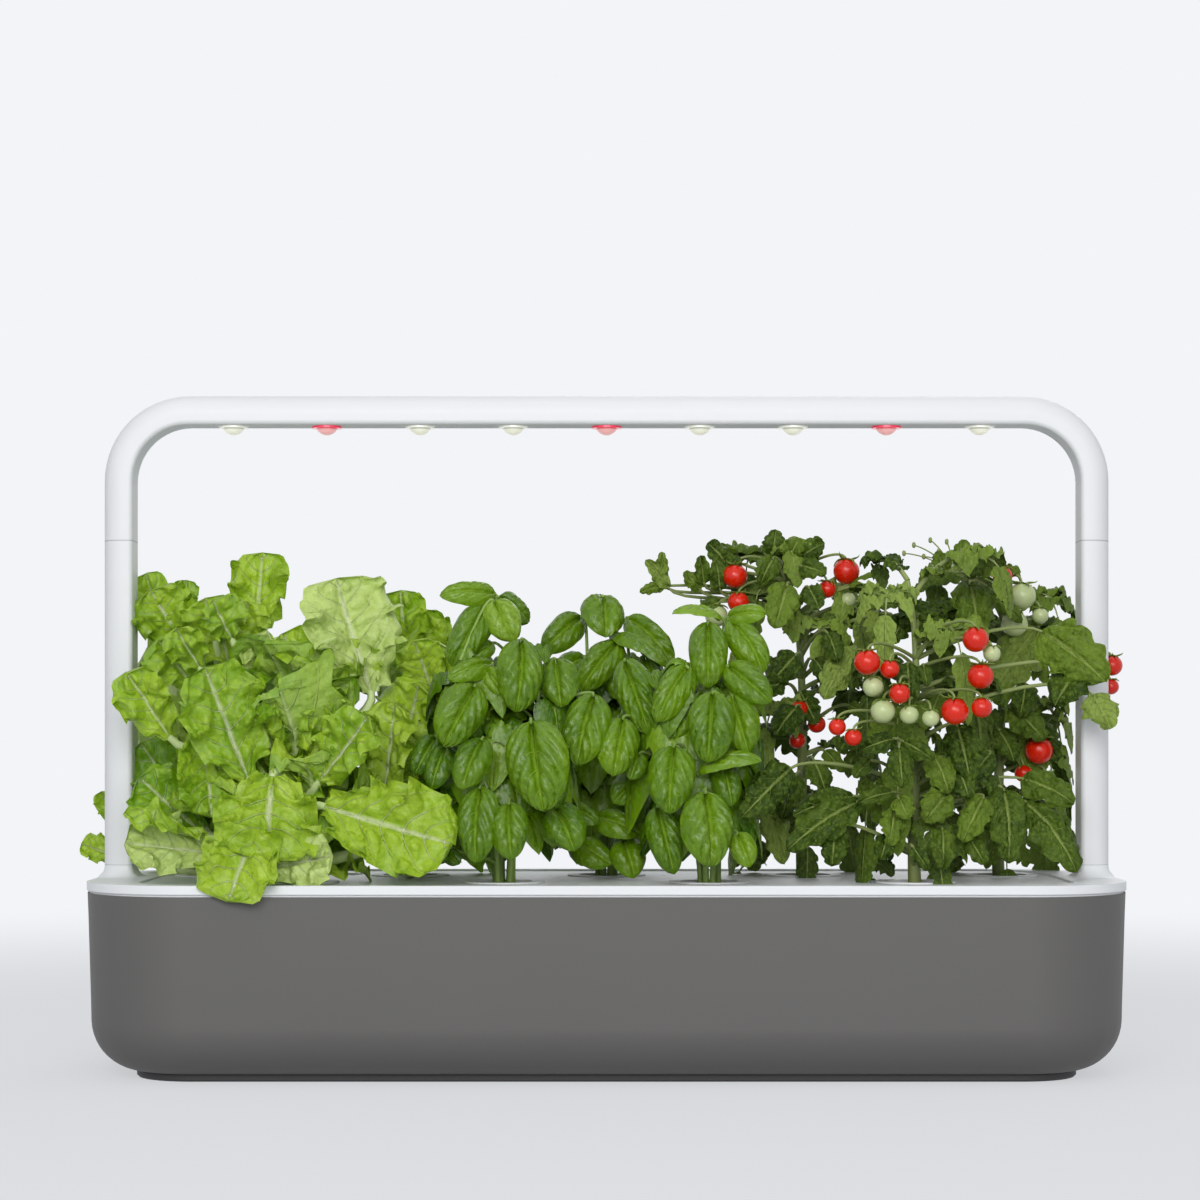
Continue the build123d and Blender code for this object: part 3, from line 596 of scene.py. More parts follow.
def blade(growth, form, spine, facing, width, rng, tone=0.5, twist=0.0, scale=1.0):
    # A leaf over (along, across). Its midrib is the spine. Each cross line is an arc bent by cup towards
    # facing. Half its width is width/2 times along^a (1-along)^b at its peak of 1, times 1 - teeth *
    # (1 - |sin|) for round lobes. Added along the normal: waves that grow with across^2.6, pillows between
    # the side veins, a sunken midrib, slow swells, and a crumple, the size of a sum of six crossing sines.
    rows, columns = form["grid"]
    rows, columns = max(6, round(rows * scale)), max(6, round(columns * scale))
    columns += 1 - columns % 2
    spine = curve(spine, rows)
    along = np.linspace(0, 1, rows)[:, None]
    across = np.linspace(-1, 1, columns)[None]
    edge = np.abs(across)
    tangent = unit(np.gradient(spine, axis=0))
    length = np.linalg.norm(np.diff(spine, axis=0), axis=1).sum()
    chord = unit(spine[-1] - spine[0])
    side = unit(np.cross(chord, np.asarray(facing, float)))
    side = unit(side - (tangent @ side)[:, None] * tangent)
    up = np.cross(side, tangent)
    angle = twist * along
    side, up = side * np.cos(angle) + up * np.sin(angle), up * np.cos(angle) - side * np.sin(angle)

    near, far = form["outline"]
    peak = near / (near + far)
    shape = (along**near * (1 - along) ** far) / (peak**near * (1 - peak) ** far)
    shape = np.maximum(shape, form["neck"] * (1 - along) + 0.01)
    lobes = np.abs(np.sin(np.pi * form["toothCount"] * (along - 0.06 * edge))) ** 0.7
    half = width / 2 * shape * (1 - form["teeth"] * (1 - lobes) * edge**2)

    bend = form["cup"] * (0.35 + 0.65 * np.sin(np.pi * along))
    bend = np.where(np.abs(bend) < 0.02, 0.02, bend)
    out = half * np.sin(bend * across) / bend
    rise = half * (1 - np.cos(bend * across)) / bend

    phase = rng.random(6) * 2 * np.pi
    sidePhase = np.where(across > 0, phase[0], phase[1])
    wave = 2 * np.pi * form["waves"] * along + sidePhase
    frill = width / 2 * form["ruffle"] * edge**2.6 * np.sin(np.pi * along**0.7) ** 0.5
    rise = rise + frill * (np.sin(wave) + 0.55 * np.sin(2.37 * wave + phase[2]) * edge**2)
    forward = 0.6 * frill * (np.cos(wave) + 0.6 * np.cos(2.37 * wave + phase[3]) * edge)
    veins = np.pi * form["veins"] * (along - form["veinSlope"] * edge**1.35)
    pillow = np.abs(np.cos(veins)) ** 0.7 * edge**0.5 * (1 - edge**3)
    rise = rise + width / 2 * form["quilt"] * pillow * np.sin(np.pi * along) ** 0.5
    rise = rise - width / 2 * form["crease"] * np.exp(-((across / 0.1) ** 2)) * (1 - along)
    swell = np.sin(3.1 * across + phase[4] + 4.0 * along) * np.sin(5.0 * along + phase[5] - 1.7 * across)
    rise = rise + width / 2 * form["swell"] * swell * edge
    crumple = 0
    for turn in rng.random(6) * np.pi:
        run = np.cos(turn) * along * length + np.sin(turn) * across * width / 2
        crumple = crumple + np.sin(2 * np.pi * run / form["crumpleLength"] + 9 * turn) / 6
    rise = rise + form["crumple"] * np.abs(crumple) * np.minimum(edge * 4, 1) * np.sin(np.pi * along) ** 0.4

    points = spine[:, None] + side[:, None] * out[..., None] + up[:, None] * rise[..., None]
    points = points + tangent[:, None] * forward[..., None]
    growth.sheet(points, form["thickness"], tone)


def drawnIn(size, firmness):
    # a size past 1 - firmness nears 1 along a hyperbola
    past = np.maximum(size - (1 - firmness), 0)
    return size - past + firmness * past / (firmness + past)


def cellFit(low, high, planFirmness=0.4, heightFirmness=0.22):
    # points far out in the cell's oval plan, or in its height, are drawn in, so that none leaves it
    low, high = np.asarray(low, float), np.asarray(high, float)
    middle, half = (low + high) / 2, (high - low) / 2

    def fit(points):
        offset = (points - middle) / half
        reach = np.maximum(np.linalg.norm(offset[:, :2], axis=1, keepdims=True), 1e-9)
        plan = offset[:, :2] * drawnIn(reach, planFirmness) / reach
        height = np.sign(offset[:, 2:]) * drawnIn(np.abs(offset[:, 2:]), heightFirmness)
        return middle + half * np.concatenate((plan, height), axis=1)

    return fit


goldenAngle = 137.5
cellHeights = (90, 380)
pods = {  # kind, low and high corner of its cell in plan, share of the full size
    1: ("lettuce", (-303, 15), (-183, 104), 1.0),
    2: ("lettuce", (-149, 3), (-62, 104), 0.93),
    3: ("basil", (-59, 3), (59, 104), 0.96),
    4: ("tomato", (62, 3), (180, 104), 1.04),
    5: ("tomato", (183, 15), (303, 104), 0.98),
    6: ("lettuce", (-276, -84), (-123, -3), 0.94),
    7: ("basil", (-119, -76), (-2, -3), 0.95),
    8: ("basil", (2, -76), (102, -3), 0.9),
    9: ("tomato", (136, -66), (250, -3), 0.97),
}


def podTop(number):
    # middle of the top of a pod's growth medium, to a tenth of a millimetre
    low, high = (np.array(corner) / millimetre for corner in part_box(f"growth_medium_{number}"))
    x, y, _ = (low + high) / 2
    return round(float(x), 1), round(float(y), 1), round(float(high[2]), 1)


mediumTop = podTop(1)[2]


def heading(turn, rise):  # unit vector at an angle round Z and an angle above level, in degrees
    turn, rise = math.radians(turn), math.radians(rise)
    return np.array((math.cos(turn) * math.cos(rise), math.sin(turn) * math.cos(rise), math.sin(rise)))


def nearest(paths, place, below):
    # the point of the stems closest to a place, where height above (place - below) counts double
    points = np.concatenate(paths)
    offset = points - place
    return points[np.argmin(np.linalg.norm(offset, axis=1) + 2 * np.maximum(offset[:, 2] + below, 0))]


# enlarged parts of the view, in whose pixels leaves are placed: left, top, zoom
closeUps = {
    "whole": (0, 0, 1),
    "left": (80, 500, 4.356),
    "middle": (400, 520, 4.126),
    "right": (720, 520, 3.733),
}


def spot(closeUp, across, down, depth):
    # the place at a depth that a pixel of the close-up shows, and that pixel's width there
    left, top, zoom = closeUps[closeUp]
    pixel = (view["distance"] / millimetre + depth) / view["focalPixels"]
    x = (left + across / zoom - view["centreColumn"]) * pixel
    z = view["height"] / millimetre - (top + down / zoom - view["horizonRow"]) * pixel
    return np.array((x, depth, z)), pixel / zoom


def placedLeaf(growth, form, closeUp, leaf, stems, rng, arch, curl, stalk, below):
    # a leaf from foot to tip that shows its face to the front, with a stalk to the nearest stem
    # tone takes the leaf's green from deep to bright and is set low for leaves that sit in shade: partly
    # its own colour, partly painted shade
    footAcross, footDown, tipAcross, tipDown, width, depth, lean, tone = leaf
    foot, pixel = spot(closeUp, footAcross, footDown, depth)
    tip, _ = spot(closeUp, tipAcross, tipDown, depth + lean)
    width *= pixel
    chord = tip - foot
    length = np.linalg.norm(chord)
    # a narrow leaf is seen from above, a broad one from its face
    facing = (0.0, -0.45, 1.0) if width < 0.45 * length else (rng.uniform(-0.3, 0.3), -1.0, 0.4)
    facing = unit(facing - facing @ unit(chord) * unit(chord))
    lift = arch * length * facing
    spine = [foot, foot + 0.33 * chord + lift, foot + 0.72 * chord + lift, tip + curl * length * facing]
    scale = min(max(length / form["fullLength"], 0.6), 1.2)
    twist = rng.uniform(-0.25, 0.25)
    blade(growth, form, spine, facing, width * form["fullness"], rng, tone, twist, scale=scale)
    knot = nearest(stems, foot, below)
    reach = np.linalg.norm(foot - knot)
    start = unit(spine[1] - foot)
    leave = knot + (foot - knot) * 0.4 + (0, 0, 0.12 * reach)
    path = curve([knot, leave, foot - start * 0.2 * reach, foot + start], 9)
    growth.tube(path, np.linspace(*stalk, 9), 0.5, sides=6)


lettuce = {
    "leaves": 24,
    "length": (84, 132),      # outer, inner
    "rise": (8, 80),
    "stemHeight": 46,
    "form": {
        "grid": (50, 37), "fullLength": 100, "fullness": 1.12, "outline": (0.6, 0.34), "neck": 0.2,
        "teeth": 0.05, "toothCount": 6,
        "cup": 0.5, "ruffle": 0.27, "waves": 3.4, "quilt": 0.1, "veins": 6, "veinSlope": 0.34,
        "crease": 0.07, "swell": 0.2, "crumple": 11.0, "crumpleLength": 22.0, "thickness": 0.5,
    },
    "look": {
        "greens": ((96, 152, 10), (200, 230, 66), (240, 245, 204), (176, 206, 96)),  # and the underside
        "roughness": 0.34, "pucker": 170.0, "depth": 0.0042, "coat": 0.28, "shine": 0.4, "through": 0.28,
    },
    # Leaves placed in a close-up: pod, then foot across and down, tip across and down and width in
    # its pixels, depth of the foot and lean of the tip in millimetres, and tone.
    "placed": {
        "left": (
            (1, 390, 660, 290, 320, 170, 20, 0, 0.4), (1, 440, 560, 470, 350, 120, 24, 2, 0.3),
            (1, 760, 600, 800, 232, 255, 14, 6, 0.6), (6, 1270, 840, 1110, 348, 400, -34, 10, 0.95),
            (2, 1420, 700, 1395, 395, 210, 16, 4, 0.5), (6, 1040, 1230, 1262, 940, 240, -66, -8, 0.4),
            (1, 500, 1400, 265, 1060, 230, 0, 4, 0.0), (1, 540, 740, 410, 590, 170, 4, 2, 0.4),
            (1, 650, 720, 590, 470, 260, 0, 4, 0.7), (6, 900, 790, 725, 615, 190, -30, -4, 0.9),
            (6, 1080, 870, 880, 585, 270, -34, 4, 0.7), (6, 930, 1010, 880, 830, 210, -44, -2, 0.1),
            (6, 900, 1110, 750, 880, 170, -54, -6, 0.3), (6, 1120, 1120, 1060, 840, 190, -50, -4, 0.5),
            (2, 1330, 1310, 1440, 940, 270, 0, -6, 0.8), (2, 1250, 1340, 1150, 1240, 160, -6, -8, 0.7),
            (2, 1500, 800, 1480, 480, 260, 20, 6, 0.6), (1, 190, 1560, 5, 1500, 120, 40, 0, 0.7),
            (1, 160, 1420, 92, 1270, 90, 44, 2, 0.5), (2, 1480, 1250, 1530, 1020, 240, 0, -8, 0.4),
        ),
        "whole": (
            (6, 272, 776, 264, 862, 100, -78, -14, 0.6), (6, 256, 818, 229, 903, 78, -84, -25, 0.65),
            (6, 272, 868, 334, 856, 54, -82, -8, 1.0), (6, 324, 806, 454, 846, 90, -78, -12, 0.62),
            (6, 208, 838, 122, 818, 36, -74, -8, 0.5), (6, 212, 852, 125, 844, 54, -66, -8, 0.95),
            (6, 204, 720, 212, 818, 60, -66, -8, 0.3), (6, 248, 778, 204, 668, 84, -78, -4, 0.3),
            (6, 170, 738, 127, 672, 52, -56, -10, 0.6), (6, 202, 832, 138, 778, 62, -48, -6, 0.1),
            (6, 276, 764, 260, 712, 38, -62, -8, 0.5), (6, 300, 768, 288, 708, 42, -56, -8, 0.35),
            (6, 312, 762, 324, 704, 40, -58, -8, 0.5), (6, 286, 722, 304, 680, 38, -52, -8, 0.3),
            (6, 256, 738, 268, 700, 32, -64, -8, 0.6), (2, 400, 802, 386, 730, 50, -18, -8, 0.72),
            (6, 340, 720, 330, 670, 44, -34, -6, 0.5), (6, 232, 640, 212, 600, 44, -24, -6, 0.3),
            (1, 158, 632, 172, 590, 40, 16, -6, 0.5), (6, 200, 668, 176, 628, 40, -30, -8, 0.4),
            (2, 400, 762, 420, 682, 62, -10, -8, 0.7), (6, 384, 792, 396, 702, 56, -30, -8, 0.75),
            (2, 420, 722, 440, 642, 52, 0, -6, 0.7), (6, 352, 694, 362, 640, 52, -22, -6, 0.8),
            (2, 432, 690, 414, 640, 46, -6, -6, 0.75), (2, 440, 764, 446, 692, 46, -8, -8, 0.6),
            (6, 372, 842, 350, 790, 56, -58, -6, 0.5), (2, 410, 862, 426, 800, 50, -30, -6, 0.3),
            (1, 182, 642, 150, 590, 62, 10, -4, 0.5), (1, 216, 642, 205, 598, 52, 0, -4, 0.6),
            (6, 192, 684, 158, 640, 54, -22, -6, 0.4), (1, 242, 644, 248, 602, 48, 4, -4, 0.7),
        ),
    },
}
basil = {
    "stems": 6,
    "nodeGap": 21,
    "height": 142,
    "spread": 36,
    "form": {
        "grid": (28, 19), "fullLength": 40, "fullness": 1.18, "outline": (0.46, 0.6), "neck": 0.05,
        "teeth": 0.0, "toothCount": 1,
        "cup": -0.95, "ruffle": 0.05, "waves": 1.6, "quilt": 0.38, "veins": 4.5, "veinSlope": 0.55,
        "crease": 0.36, "swell": 0.07, "crumple": 1.2, "crumpleLength": 14.0, "thickness": 0.45,
    },
    "look": {
        "greens": ((42, 88, 0), (124, 164, 12), (158, 192, 66), (96, 142, 44)),
        "roughness": 0.29, "pucker": 260.0, "depth": 0.0014, "coat": 0.35, "shine": 0.3, "through": 0.14,
    },
    "placed": {
        "middle": (
            (7, 395, 305, 165, 308, 110, -45, -12, 0.8), (7, 405, 315, 535, 420, 120, -45, 8, 0.3),
            (7, 385, 330, 470, 500, 150, -55, -6, 1.0), (7, 365, 345, 215, 600, 150, -50, -12, 0.4),
            (7, 500, 490, 480, 790, 190, -70, -10, 0.4), (7, 385, 505, 275, 580, 90, -50, -8, 0.5),
            (7, 385, 590, 200, 655, 110, -62, -14, 0.6), (7, 350, 610, 430, 720, 90, -66, -6, 0.8),
            (7, 310, 680, 180, 930, 195, -76, -10, 0.5), (7, 640, 570, 665, 770, 165, -58, -10, 0.5),
            (3, 750, 395, 590, 540, 140, 20, -10, 0.4), (3, 835, 310, 850, 480, 190, 14, -18, 0.6),
            (3, 940, 400, 1130, 600, 150, 22, -12, 0.5), (3, 870, 475, 1110, 600, 110, 8, -14, 0.6),
            (3, 900, 500, 745, 700, 145, 4, -12, 0.6), (8, 925, 575, 1030, 880, 160, -45, -14, 0.4),
            (8, 1200, 590, 1060, 830, 150, -60, -12, 0.6), (8, 1270, 420, 1270, 690, 160, -56, -12, 0.6),
            (8, 1360, 410, 1500, 630, 150, -48, -10, 0.7), (8, 1330, 405, 1125, 380, 90, -48, -10, 0.9),
            (8, 1350, 400, 1510, 385, 90, -46, -8, 0.8), (8, 1350, 600, 1530, 750, 150, -66, -12, 0.5),
            (8, 1370, 720, 1440, 960, 160, -72, -10, 0.6), (8, 1290, 710, 1270, 1000, 195, -80, -10, 0.4),
            (8, 1130, 930, 1110, 1210, 195, -82, -10, 0.5),
            (8, 1260, 1120, 1285, 1430, 225, -90, -10, 0.6),
            (8, 1060, 1180, 1130, 1460, 140, -74, -8, 0.3), (8, 1230, 1040, 1490, 985, 110, -78, -8, 0.7),
            (8, 1390, 1290, 1445, 1430, 110, -84, -6, 0.8), (7, 540, 830, 590, 1200, 262, -90, -12, 0.6),
            (7, 800, 720, 730, 1010, 195, -66, -12, 0.5), (8, 920, 815, 880, 1055, 175, -66, -12, 0.6),
            (8, 990, 960, 950, 1070, 100, -60, -8, 0.4), (3, 1020, 1050, 880, 1165, 140, -30, -12, 0.4),
            (7, 190, 930, 130, 1110, 120, -66, -10, 0.2), (7, 340, 900, 255, 1110, 155, -80, -10, 0.4),
            (7, 150, 890, 60, 1050, 120, -58, -8, 0.1), (7, 330, 1100, 310, 1415, 175, -84, -8, 0.4),
            (7, 450, 1165, 460, 1400, 155, -88, -8, 0.5), (7, 640, 1175, 720, 1365, 170, -76, -8, 0.3),
            (3, 720, 1330, 870, 1420, 140, -20, -8, 0.5), (3, 920, 1310, 970, 1475, 145, -24, -8, 0.6),
            (3, 810, 1220, 990, 1295, 130, -26, -8, 0.5), (3, 700, 1180, 820, 1250, 90, -30, -8, 0.4),
            (7, 190, 1370, 245, 1420, 70, -70, -4, 0.1), (7, 690, 870, 700, 1030, 110, -52, -8, 0.3),
            (8, 1040, 900, 1150, 930, 120, -50, -8, 0.2), (3, 560, 870, 660, 1000, 120, 0, -10, 0.2),
            (7, 250, 690, 330, 900, 140, -52, -10, 0.2), (8, 1190, 760, 1130, 900, 130, -58, -10, 0.5),
            (7, 600, 1000, 650, 1190, 140, -70, -8, 0.3), (8, 1330, 1000, 1370, 1180, 120, -70, -8, 0.3),
            (3, 760, 560, 660, 640, 130, 16, -8, 0.3), (3, 1010, 560, 1050, 700, 120, 14, -8, 0.3),
            (8, 1400, 930, 1330, 1080, 110, -62, -8, 0.2), (7, 360, 820, 440, 900, 100, -60, -8, 0.2),
            (3, 880, 600, 900, 740, 90, 6, -6, 0.5),
        ),
    },
}
tomato = {
    "height": 184,
    "nodeGap": 12,
    "reach": (58, 86),
    "form": {
        "grid": (26, 17), "fullLength": 36, "fullness": 1.08, "outline": (0.42, 0.62), "neck": 0.05,
        "teeth": 0.3, "toothCount": 4,
        "cup": -0.7, "ruffle": 0.12, "waves": 2.2, "quilt": 0.2, "veins": 5.5, "veinSlope": 0.55,
        "crease": 0.2, "swell": 0.16, "crumple": 5.5, "crumpleLength": 13.0, "thickness": 0.4,
    },
    "look": {
        "greens": ((24, 50, 6), (126, 154, 52), (168, 186, 104), (116, 140, 68)),
        "roughness": 0.46, "pucker": 330.0, "depth": 0.0026, "coat": 0.04, "shine": 0.12, "through": 0.08,
    },
    "placed": {
        "right": (
            (4, 60, 150, -5, 95, 75, 30, -6, 0.2), (4, 200, 140, 150, 240, 100, 10, -14, 0.2),
            (4, 290, 150, 388, 85, 85, 20, -8, 0.1), (4, 300, 170, 395, 200, 90, 10, -10, 0.3),
            (4, 250, 240, 205, 400, 140, 0, -16, 0.6), (4, 330, 250, 370, 330, 100, 6, -10, 0.2),
            (4, 480, 240, 625, 203, 40, 16, -4, 0.7), (4, 480, 250, 612, 262, 40, 14, -6, 0.6),
            (4, 540, 300, 665, 320, 75, 18, -8, 0.4), (4, 600, 340, 590, 475, 130, 20, -12, 0.9),
            (4, 650, 360, 650, 460, 90, 8, -10, 0.1), (9, 700, 320, 835, 455, 165, -20, -14, 0.0),
            (9, 700, 350, 640, 460, 110, -16, -10, 0.1), (5, 930, 235, 965, 425, 175, -10, -26, 0.3),
            (5, 905, 215, 715, 275, 90, 6, -8, 0.2), (5, 1010, 280, 1127, 382, 75, 10, -10, 0.3),
            (5, 965, 130, 925, 212, 110, 14, -10, 0.1), (5, 1190, 400, 1020, 640, 200, 30, -18, 0.9),
            (9, 1200, 415, 1440, 600, 230, -30, -14, 0.7), (9, 1390, 650, 1455, 778, 150, -38, -6, 1.0),
            (9, 1340, 555, 1250, 690, 170, -34, -8, 0.1), (5, 1140, 610, 1120, 735, 110, 10, -8, 0.1),
            (4, 400, 420, 440, 530, 90, -4, -10, 0.1), (4, 505, 480, 385, 665, 140, 0, -12, 1.0),
            (4, 350, 520, 415, 615, 80, 6, -8, 0.1), (9, 700, 535, 710, 685, 95, -60, -10, 0.1),
            (9, 760, 540, 775, 620, 60, -56, -6, 0.3), (9, 650, 815, 525, 860, 95, -72, -8, 0.1),
            (9, 680, 825, 795, 895, 90, -72, -8, 0.1), (9, 668, 845, 682, 998, 105, -78, -8, 0.1),
            (9, 800, 880, 855, 1020, 130, -60, -10, 0.5), (9, 885, 765, 935, 970, 150, -52, -12, 0.0),
            (9, 890, 930, 930, 1040, 110, -58, -8, 0.0), (9, 1060, 1005, 1080, 1275, 185, -46, -22, 0.2),
            (9, 1140, 1050, 1335, 1308, 195, -40, -22, 0.2),
            (9, 1130, 965, 1322, 1055, 150, -34, -14, 0.4), (9, 985, 1035, 905, 1200, 125, -62, -10, 0.5),
            (9, 850, 1015, 765, 1125, 140, -64, -10, 0.6), (9, 830, 1150, 830, 1305, 110, -66, -8, 0.3),
            (9, 930, 1185, 990, 1285, 85, -60, -6, 0.2), (9, 650, 1075, 630, 1215, 100, -66, -8, 0.6),
            (9, 625, 1175, 600, 1268, 90, -68, -6, 0.0), (9, 665, 1035, 705, 1115, 90, -72, -6, 0.7),
            (9, 645, 1015, 515, 1055, 70, -66, -6, 0.1), (9, 515, 1050, 250, 1228, 170, -66, -14, 0.1),
            (9, 500, 1030, 275, 1100, 120, -60, -10, 0.0), (9, 430, 1150, 420, 1290, 120, -70, -10, 0.1),
            (9, 265, 925, 85, 1105, 160, -58, -16, 0.0), (4, 285, 950, 230, 1115, 110, -10, -12, 0.1),
            (4, 350, 895, 395, 1015, 110, -6, -10, 0.2), (4, 285, 500, 175, 625, 125, 0, -10, 0.0),
            (4, 240, 610, 100, 650, 100, -8, -12, 0.1), (4, 285, 695, 205, 805, 120, 0, -10, 0.0),
            (4, 180, 1045, 240, 1282, 120, -6, -10, 1.0), (4, 390, 860, 460, 940, 70, 4, -8, 0.3),
            (4, 480, 690, 560, 740, 60, 12, -6, 0.5), (9, 560, 900, 500, 960, 70, -56, -6, 0.2),
            (5, 1040, 780, 1100, 900, 120, 16, -10, 0.2), (5, 1080, 700, 1210, 820, 140, 14, -12, 0.3),
            (5, 1000, 560, 1060, 690, 120, 20, -10, 0.8), (9, 820, 650, 760, 780, 100, -40, -10, 0.4),
            (5, 900, 560, 840, 660, 110, 24, -10, 0.5), (4, 560, 560, 620, 680, 100, 22, -8, 0.6),
            (4, 300, 640, 360, 760, 100, 18, -8, 0.2), (9, 770, 420, 870, 500, 100, -24, -8, 0.6),
            (9, 1010, 870, 940, 960, 110, -50, -8, 0.1), (5, 1180, 760, 1260, 900, 110, 24, -8, 0.0),
            (9, 720, 1220, 780, 1310, 60, -74, -4, 0.1),
        ),
        "whole": (
            (4, 668, 588, 646, 560, 17, 24, -6, 0.9), (4, 662, 582, 662, 552, 15, 26, -4, 0.8),
            (4, 664, 586, 640, 592, 14, 24, -4, 0.75), (4, 700, 590, 684, 572, 18, 22, -4, 0.5),
            (4, 704, 584, 700, 556, 18, 20, -4, 0.3), (4, 720, 590, 716, 560, 22, 18, -6, 0.2),
            (4, 726, 580, 738, 556, 24, 18, -6, 0.1), (4, 720, 602, 700, 612, 26, 18, -4, 0.3),
            (4, 728, 566, 708, 543, 28, 22, -4, 0.1), (4, 772, 556, 776, 530, 26, 20, -4, 0.2),
            (4, 800, 562, 822, 540, 28, 20, -4, 0.3), (4, 788, 560, 800, 538, 24, 18, -4, 0.5),
            (5, 958, 566, 966, 540, 24, 20, -4, 0.4), (5, 946, 572, 936, 552, 22, 18, -4, 0.6),
        ),
    },
}
sepal = dict(basil["form"], grid=(9, 7), outline=(0.35, 1.3), cup=0.6, quilt=0.0, crumple=0.0)


def growLettuce(growth, podX, podY, share, rng):
    # a rosette: leaf after leaf turned by the golden angle, flat and low outside, upright inside
    base = np.array((podX, podY, mediumTop))
    lowRise, highRise = lettuce["rise"]
    shortest, longest = lettuce["length"]
    stem = curve([base - (0, 0, 3), base + (2, 0, 20), base + (0, 0, lettuce["stemHeight"] + 12)], 12)
    growth.tube(stem, np.linspace(8.5, 3.5, 12), 0.9)
    for k in range(lettuce["leaves"]):
        inner = k / (lettuce["leaves"] - 1)
        turn = goldenAngle * k + rng.uniform(-14, 14)
        rise = lowRise + (highRise - lowRise) * inner**0.8 + rng.uniform(-7, 7)
        length = (shortest + (longest - shortest) * inner**0.7) * share
        length *= rng.uniform(0.82, 1.08) * (1.0 if inner < 0.9 else 0.8)
        root = base + (0, 0, 2 + lettuce["stemHeight"] * inner)
        start = heading(turn, rise + 20)
        go = heading(turn, rise)
        end = heading(turn, rise - 48)
        spine = [
            root, root + 0.34 * length * start, root + 0.34 * length * start + 0.34 * length * go,
            root + 0.34 * length * start + 0.42 * length * go + 0.3 * length * end,
        ]
        width = length * rng.uniform(0.62, 0.8)
        blade(growth, lettuce["form"], spine, heading(turn + 180, 90 - rise), width, rng,
              tone=rng.uniform(0, 0.8), twist=rng.uniform(-0.6, 0.6), scale=0.68)
    return [stem]


def growBasil(growth, podX, podY, share, rng):
    # stems fan out from the pod; each node bears an opposite pair, turned a quarter from the last
    base = np.array((podX, podY, mediumTop))
    paths = []
    for k in range(basil["stems"]):
        turn = 360 / basil["stems"] * k + rng.uniform(-20, 20)
        out = basil["spread"] * rng.uniform(0.6, 1.05) * (0.3 if k == 0 else 1)
        height = basil["height"] * share * rng.uniform(0.8, 1.04)
        foot = base + heading(turn, 0) * 5
        top = base + heading(turn, 0) * out + (0, 0, height)
        path = curve([foot - (0, 0, 4), foot + (0, 0, 0.45 * height), top - (0, 0, 0.3 * height), top], 24)
        paths.append(path)
        growth.tube(path, np.linspace(2.1, 0.9, 24), 0.4)
        nodeCount = int(height / basil["nodeGap"])
        for node in range(1, nodeCount + 1):
            place = node / nodeCount
            knot = path[min(int(3 + place * 20), 23)]
            size = (34 + 22 * math.sin(math.pi * min(place * 0.9 + 0.08, 1))) * rng.uniform(0.85, 1.12)
            size *= 0.6 if node == nodeCount else 1.0
            for half in (0, 180):
                way = turn + 90 * node + half + rng.uniform(-18, 18)
                rise = 22 + 22 * place + rng.uniform(-10, 10)
                stalk = knot + heading(way, rise) * size * 0.24
                growth.tube(curve([knot, (knot + stalk) / 2 + (0, 0, 1), stalk], 4), 0.9, 0.4, sides=5)
                middle = stalk + heading(way, rise - 18) * size * 0.36
                tip = middle + heading(way, rise - 98) * size * 0.66
                spine = [stalk, stalk + heading(way, rise) * size * 0.25, middle + (0, 0, 3), tip]
                width = size * rng.uniform(0.74, 0.88)
                blade(growth, basil["form"], spine, heading(way + 180, 60), width, rng,
                      tone=rng.uniform(0, 1), twist=rng.uniform(-0.3, 0.3), scale=0.75)
    return paths


def compoundLeaf(growth, knot, way, rise, reach, rng, tone, droop):
    # a rachis that arches over, with pairs of leaflets that grow towards the one at its end
    middle = knot + heading(way, rise) * reach * 0.5
    end = middle + heading(way + rng.uniform(-14, 14), rise - droop) * reach * 0.42
    leave = knot + heading(way, rise + 8) * reach * 0.3
    path = curve([knot, leave, middle + (0, 0, 0.05 * reach), end], 14)
    growth.tube(path, np.linspace(1.7, 0.7, 14), 0.45, sides=6)
    line = unit(path[-1] - path[0])
    across = unit(np.cross(line, (0, 0, 1.0)))
    over = unit(np.cross(across, line))
    for place, share in ((0.3, 0.5), (0.55, 0.85), (0.8, 1.0)):
        at = path[int(place * 13)]
        ahead = unit(path[min(int(place * 13) + 1, 13)] - path[int(place * 13) - 1])
        for half in (-1, 1):
            size = reach * 0.5 * share * rng.uniform(0.8, 1.15)
            go = unit(half * across + 0.55 * ahead + 0.15 * over)
            low = unit(half * across * 0.8 + 0.5 * ahead - rng.uniform(0.4, 1.6) * np.array((0, 0, 1.0)))
            tip = at + (go * 0.62 + low * 0.42) * size
            spine = [at, at + go * size * 0.4, at + go * size * 0.7, tip]
            blade(growth, tomato["form"], spine, over, size * rng.uniform(0.66, 0.8), rng, tone=tone,
                  twist=rng.uniform(-0.4, 0.4), scale=0.8)
    size = reach * 0.58 * rng.uniform(0.9, 1.15)
    go = unit(path[-1] - path[-3])
    spine = [path[-1], path[-1] + go * size * 0.4, path[-1] + go * size * 0.7 - (0, 0, size * 0.08),
             path[-1] + go * size * 0.9 - (0, 0, size * 0.3)]
    blade(growth, tomato["form"], spine, over, size * 0.72, rng, tone=tone, twist=rng.uniform(-0.4, 0.4))


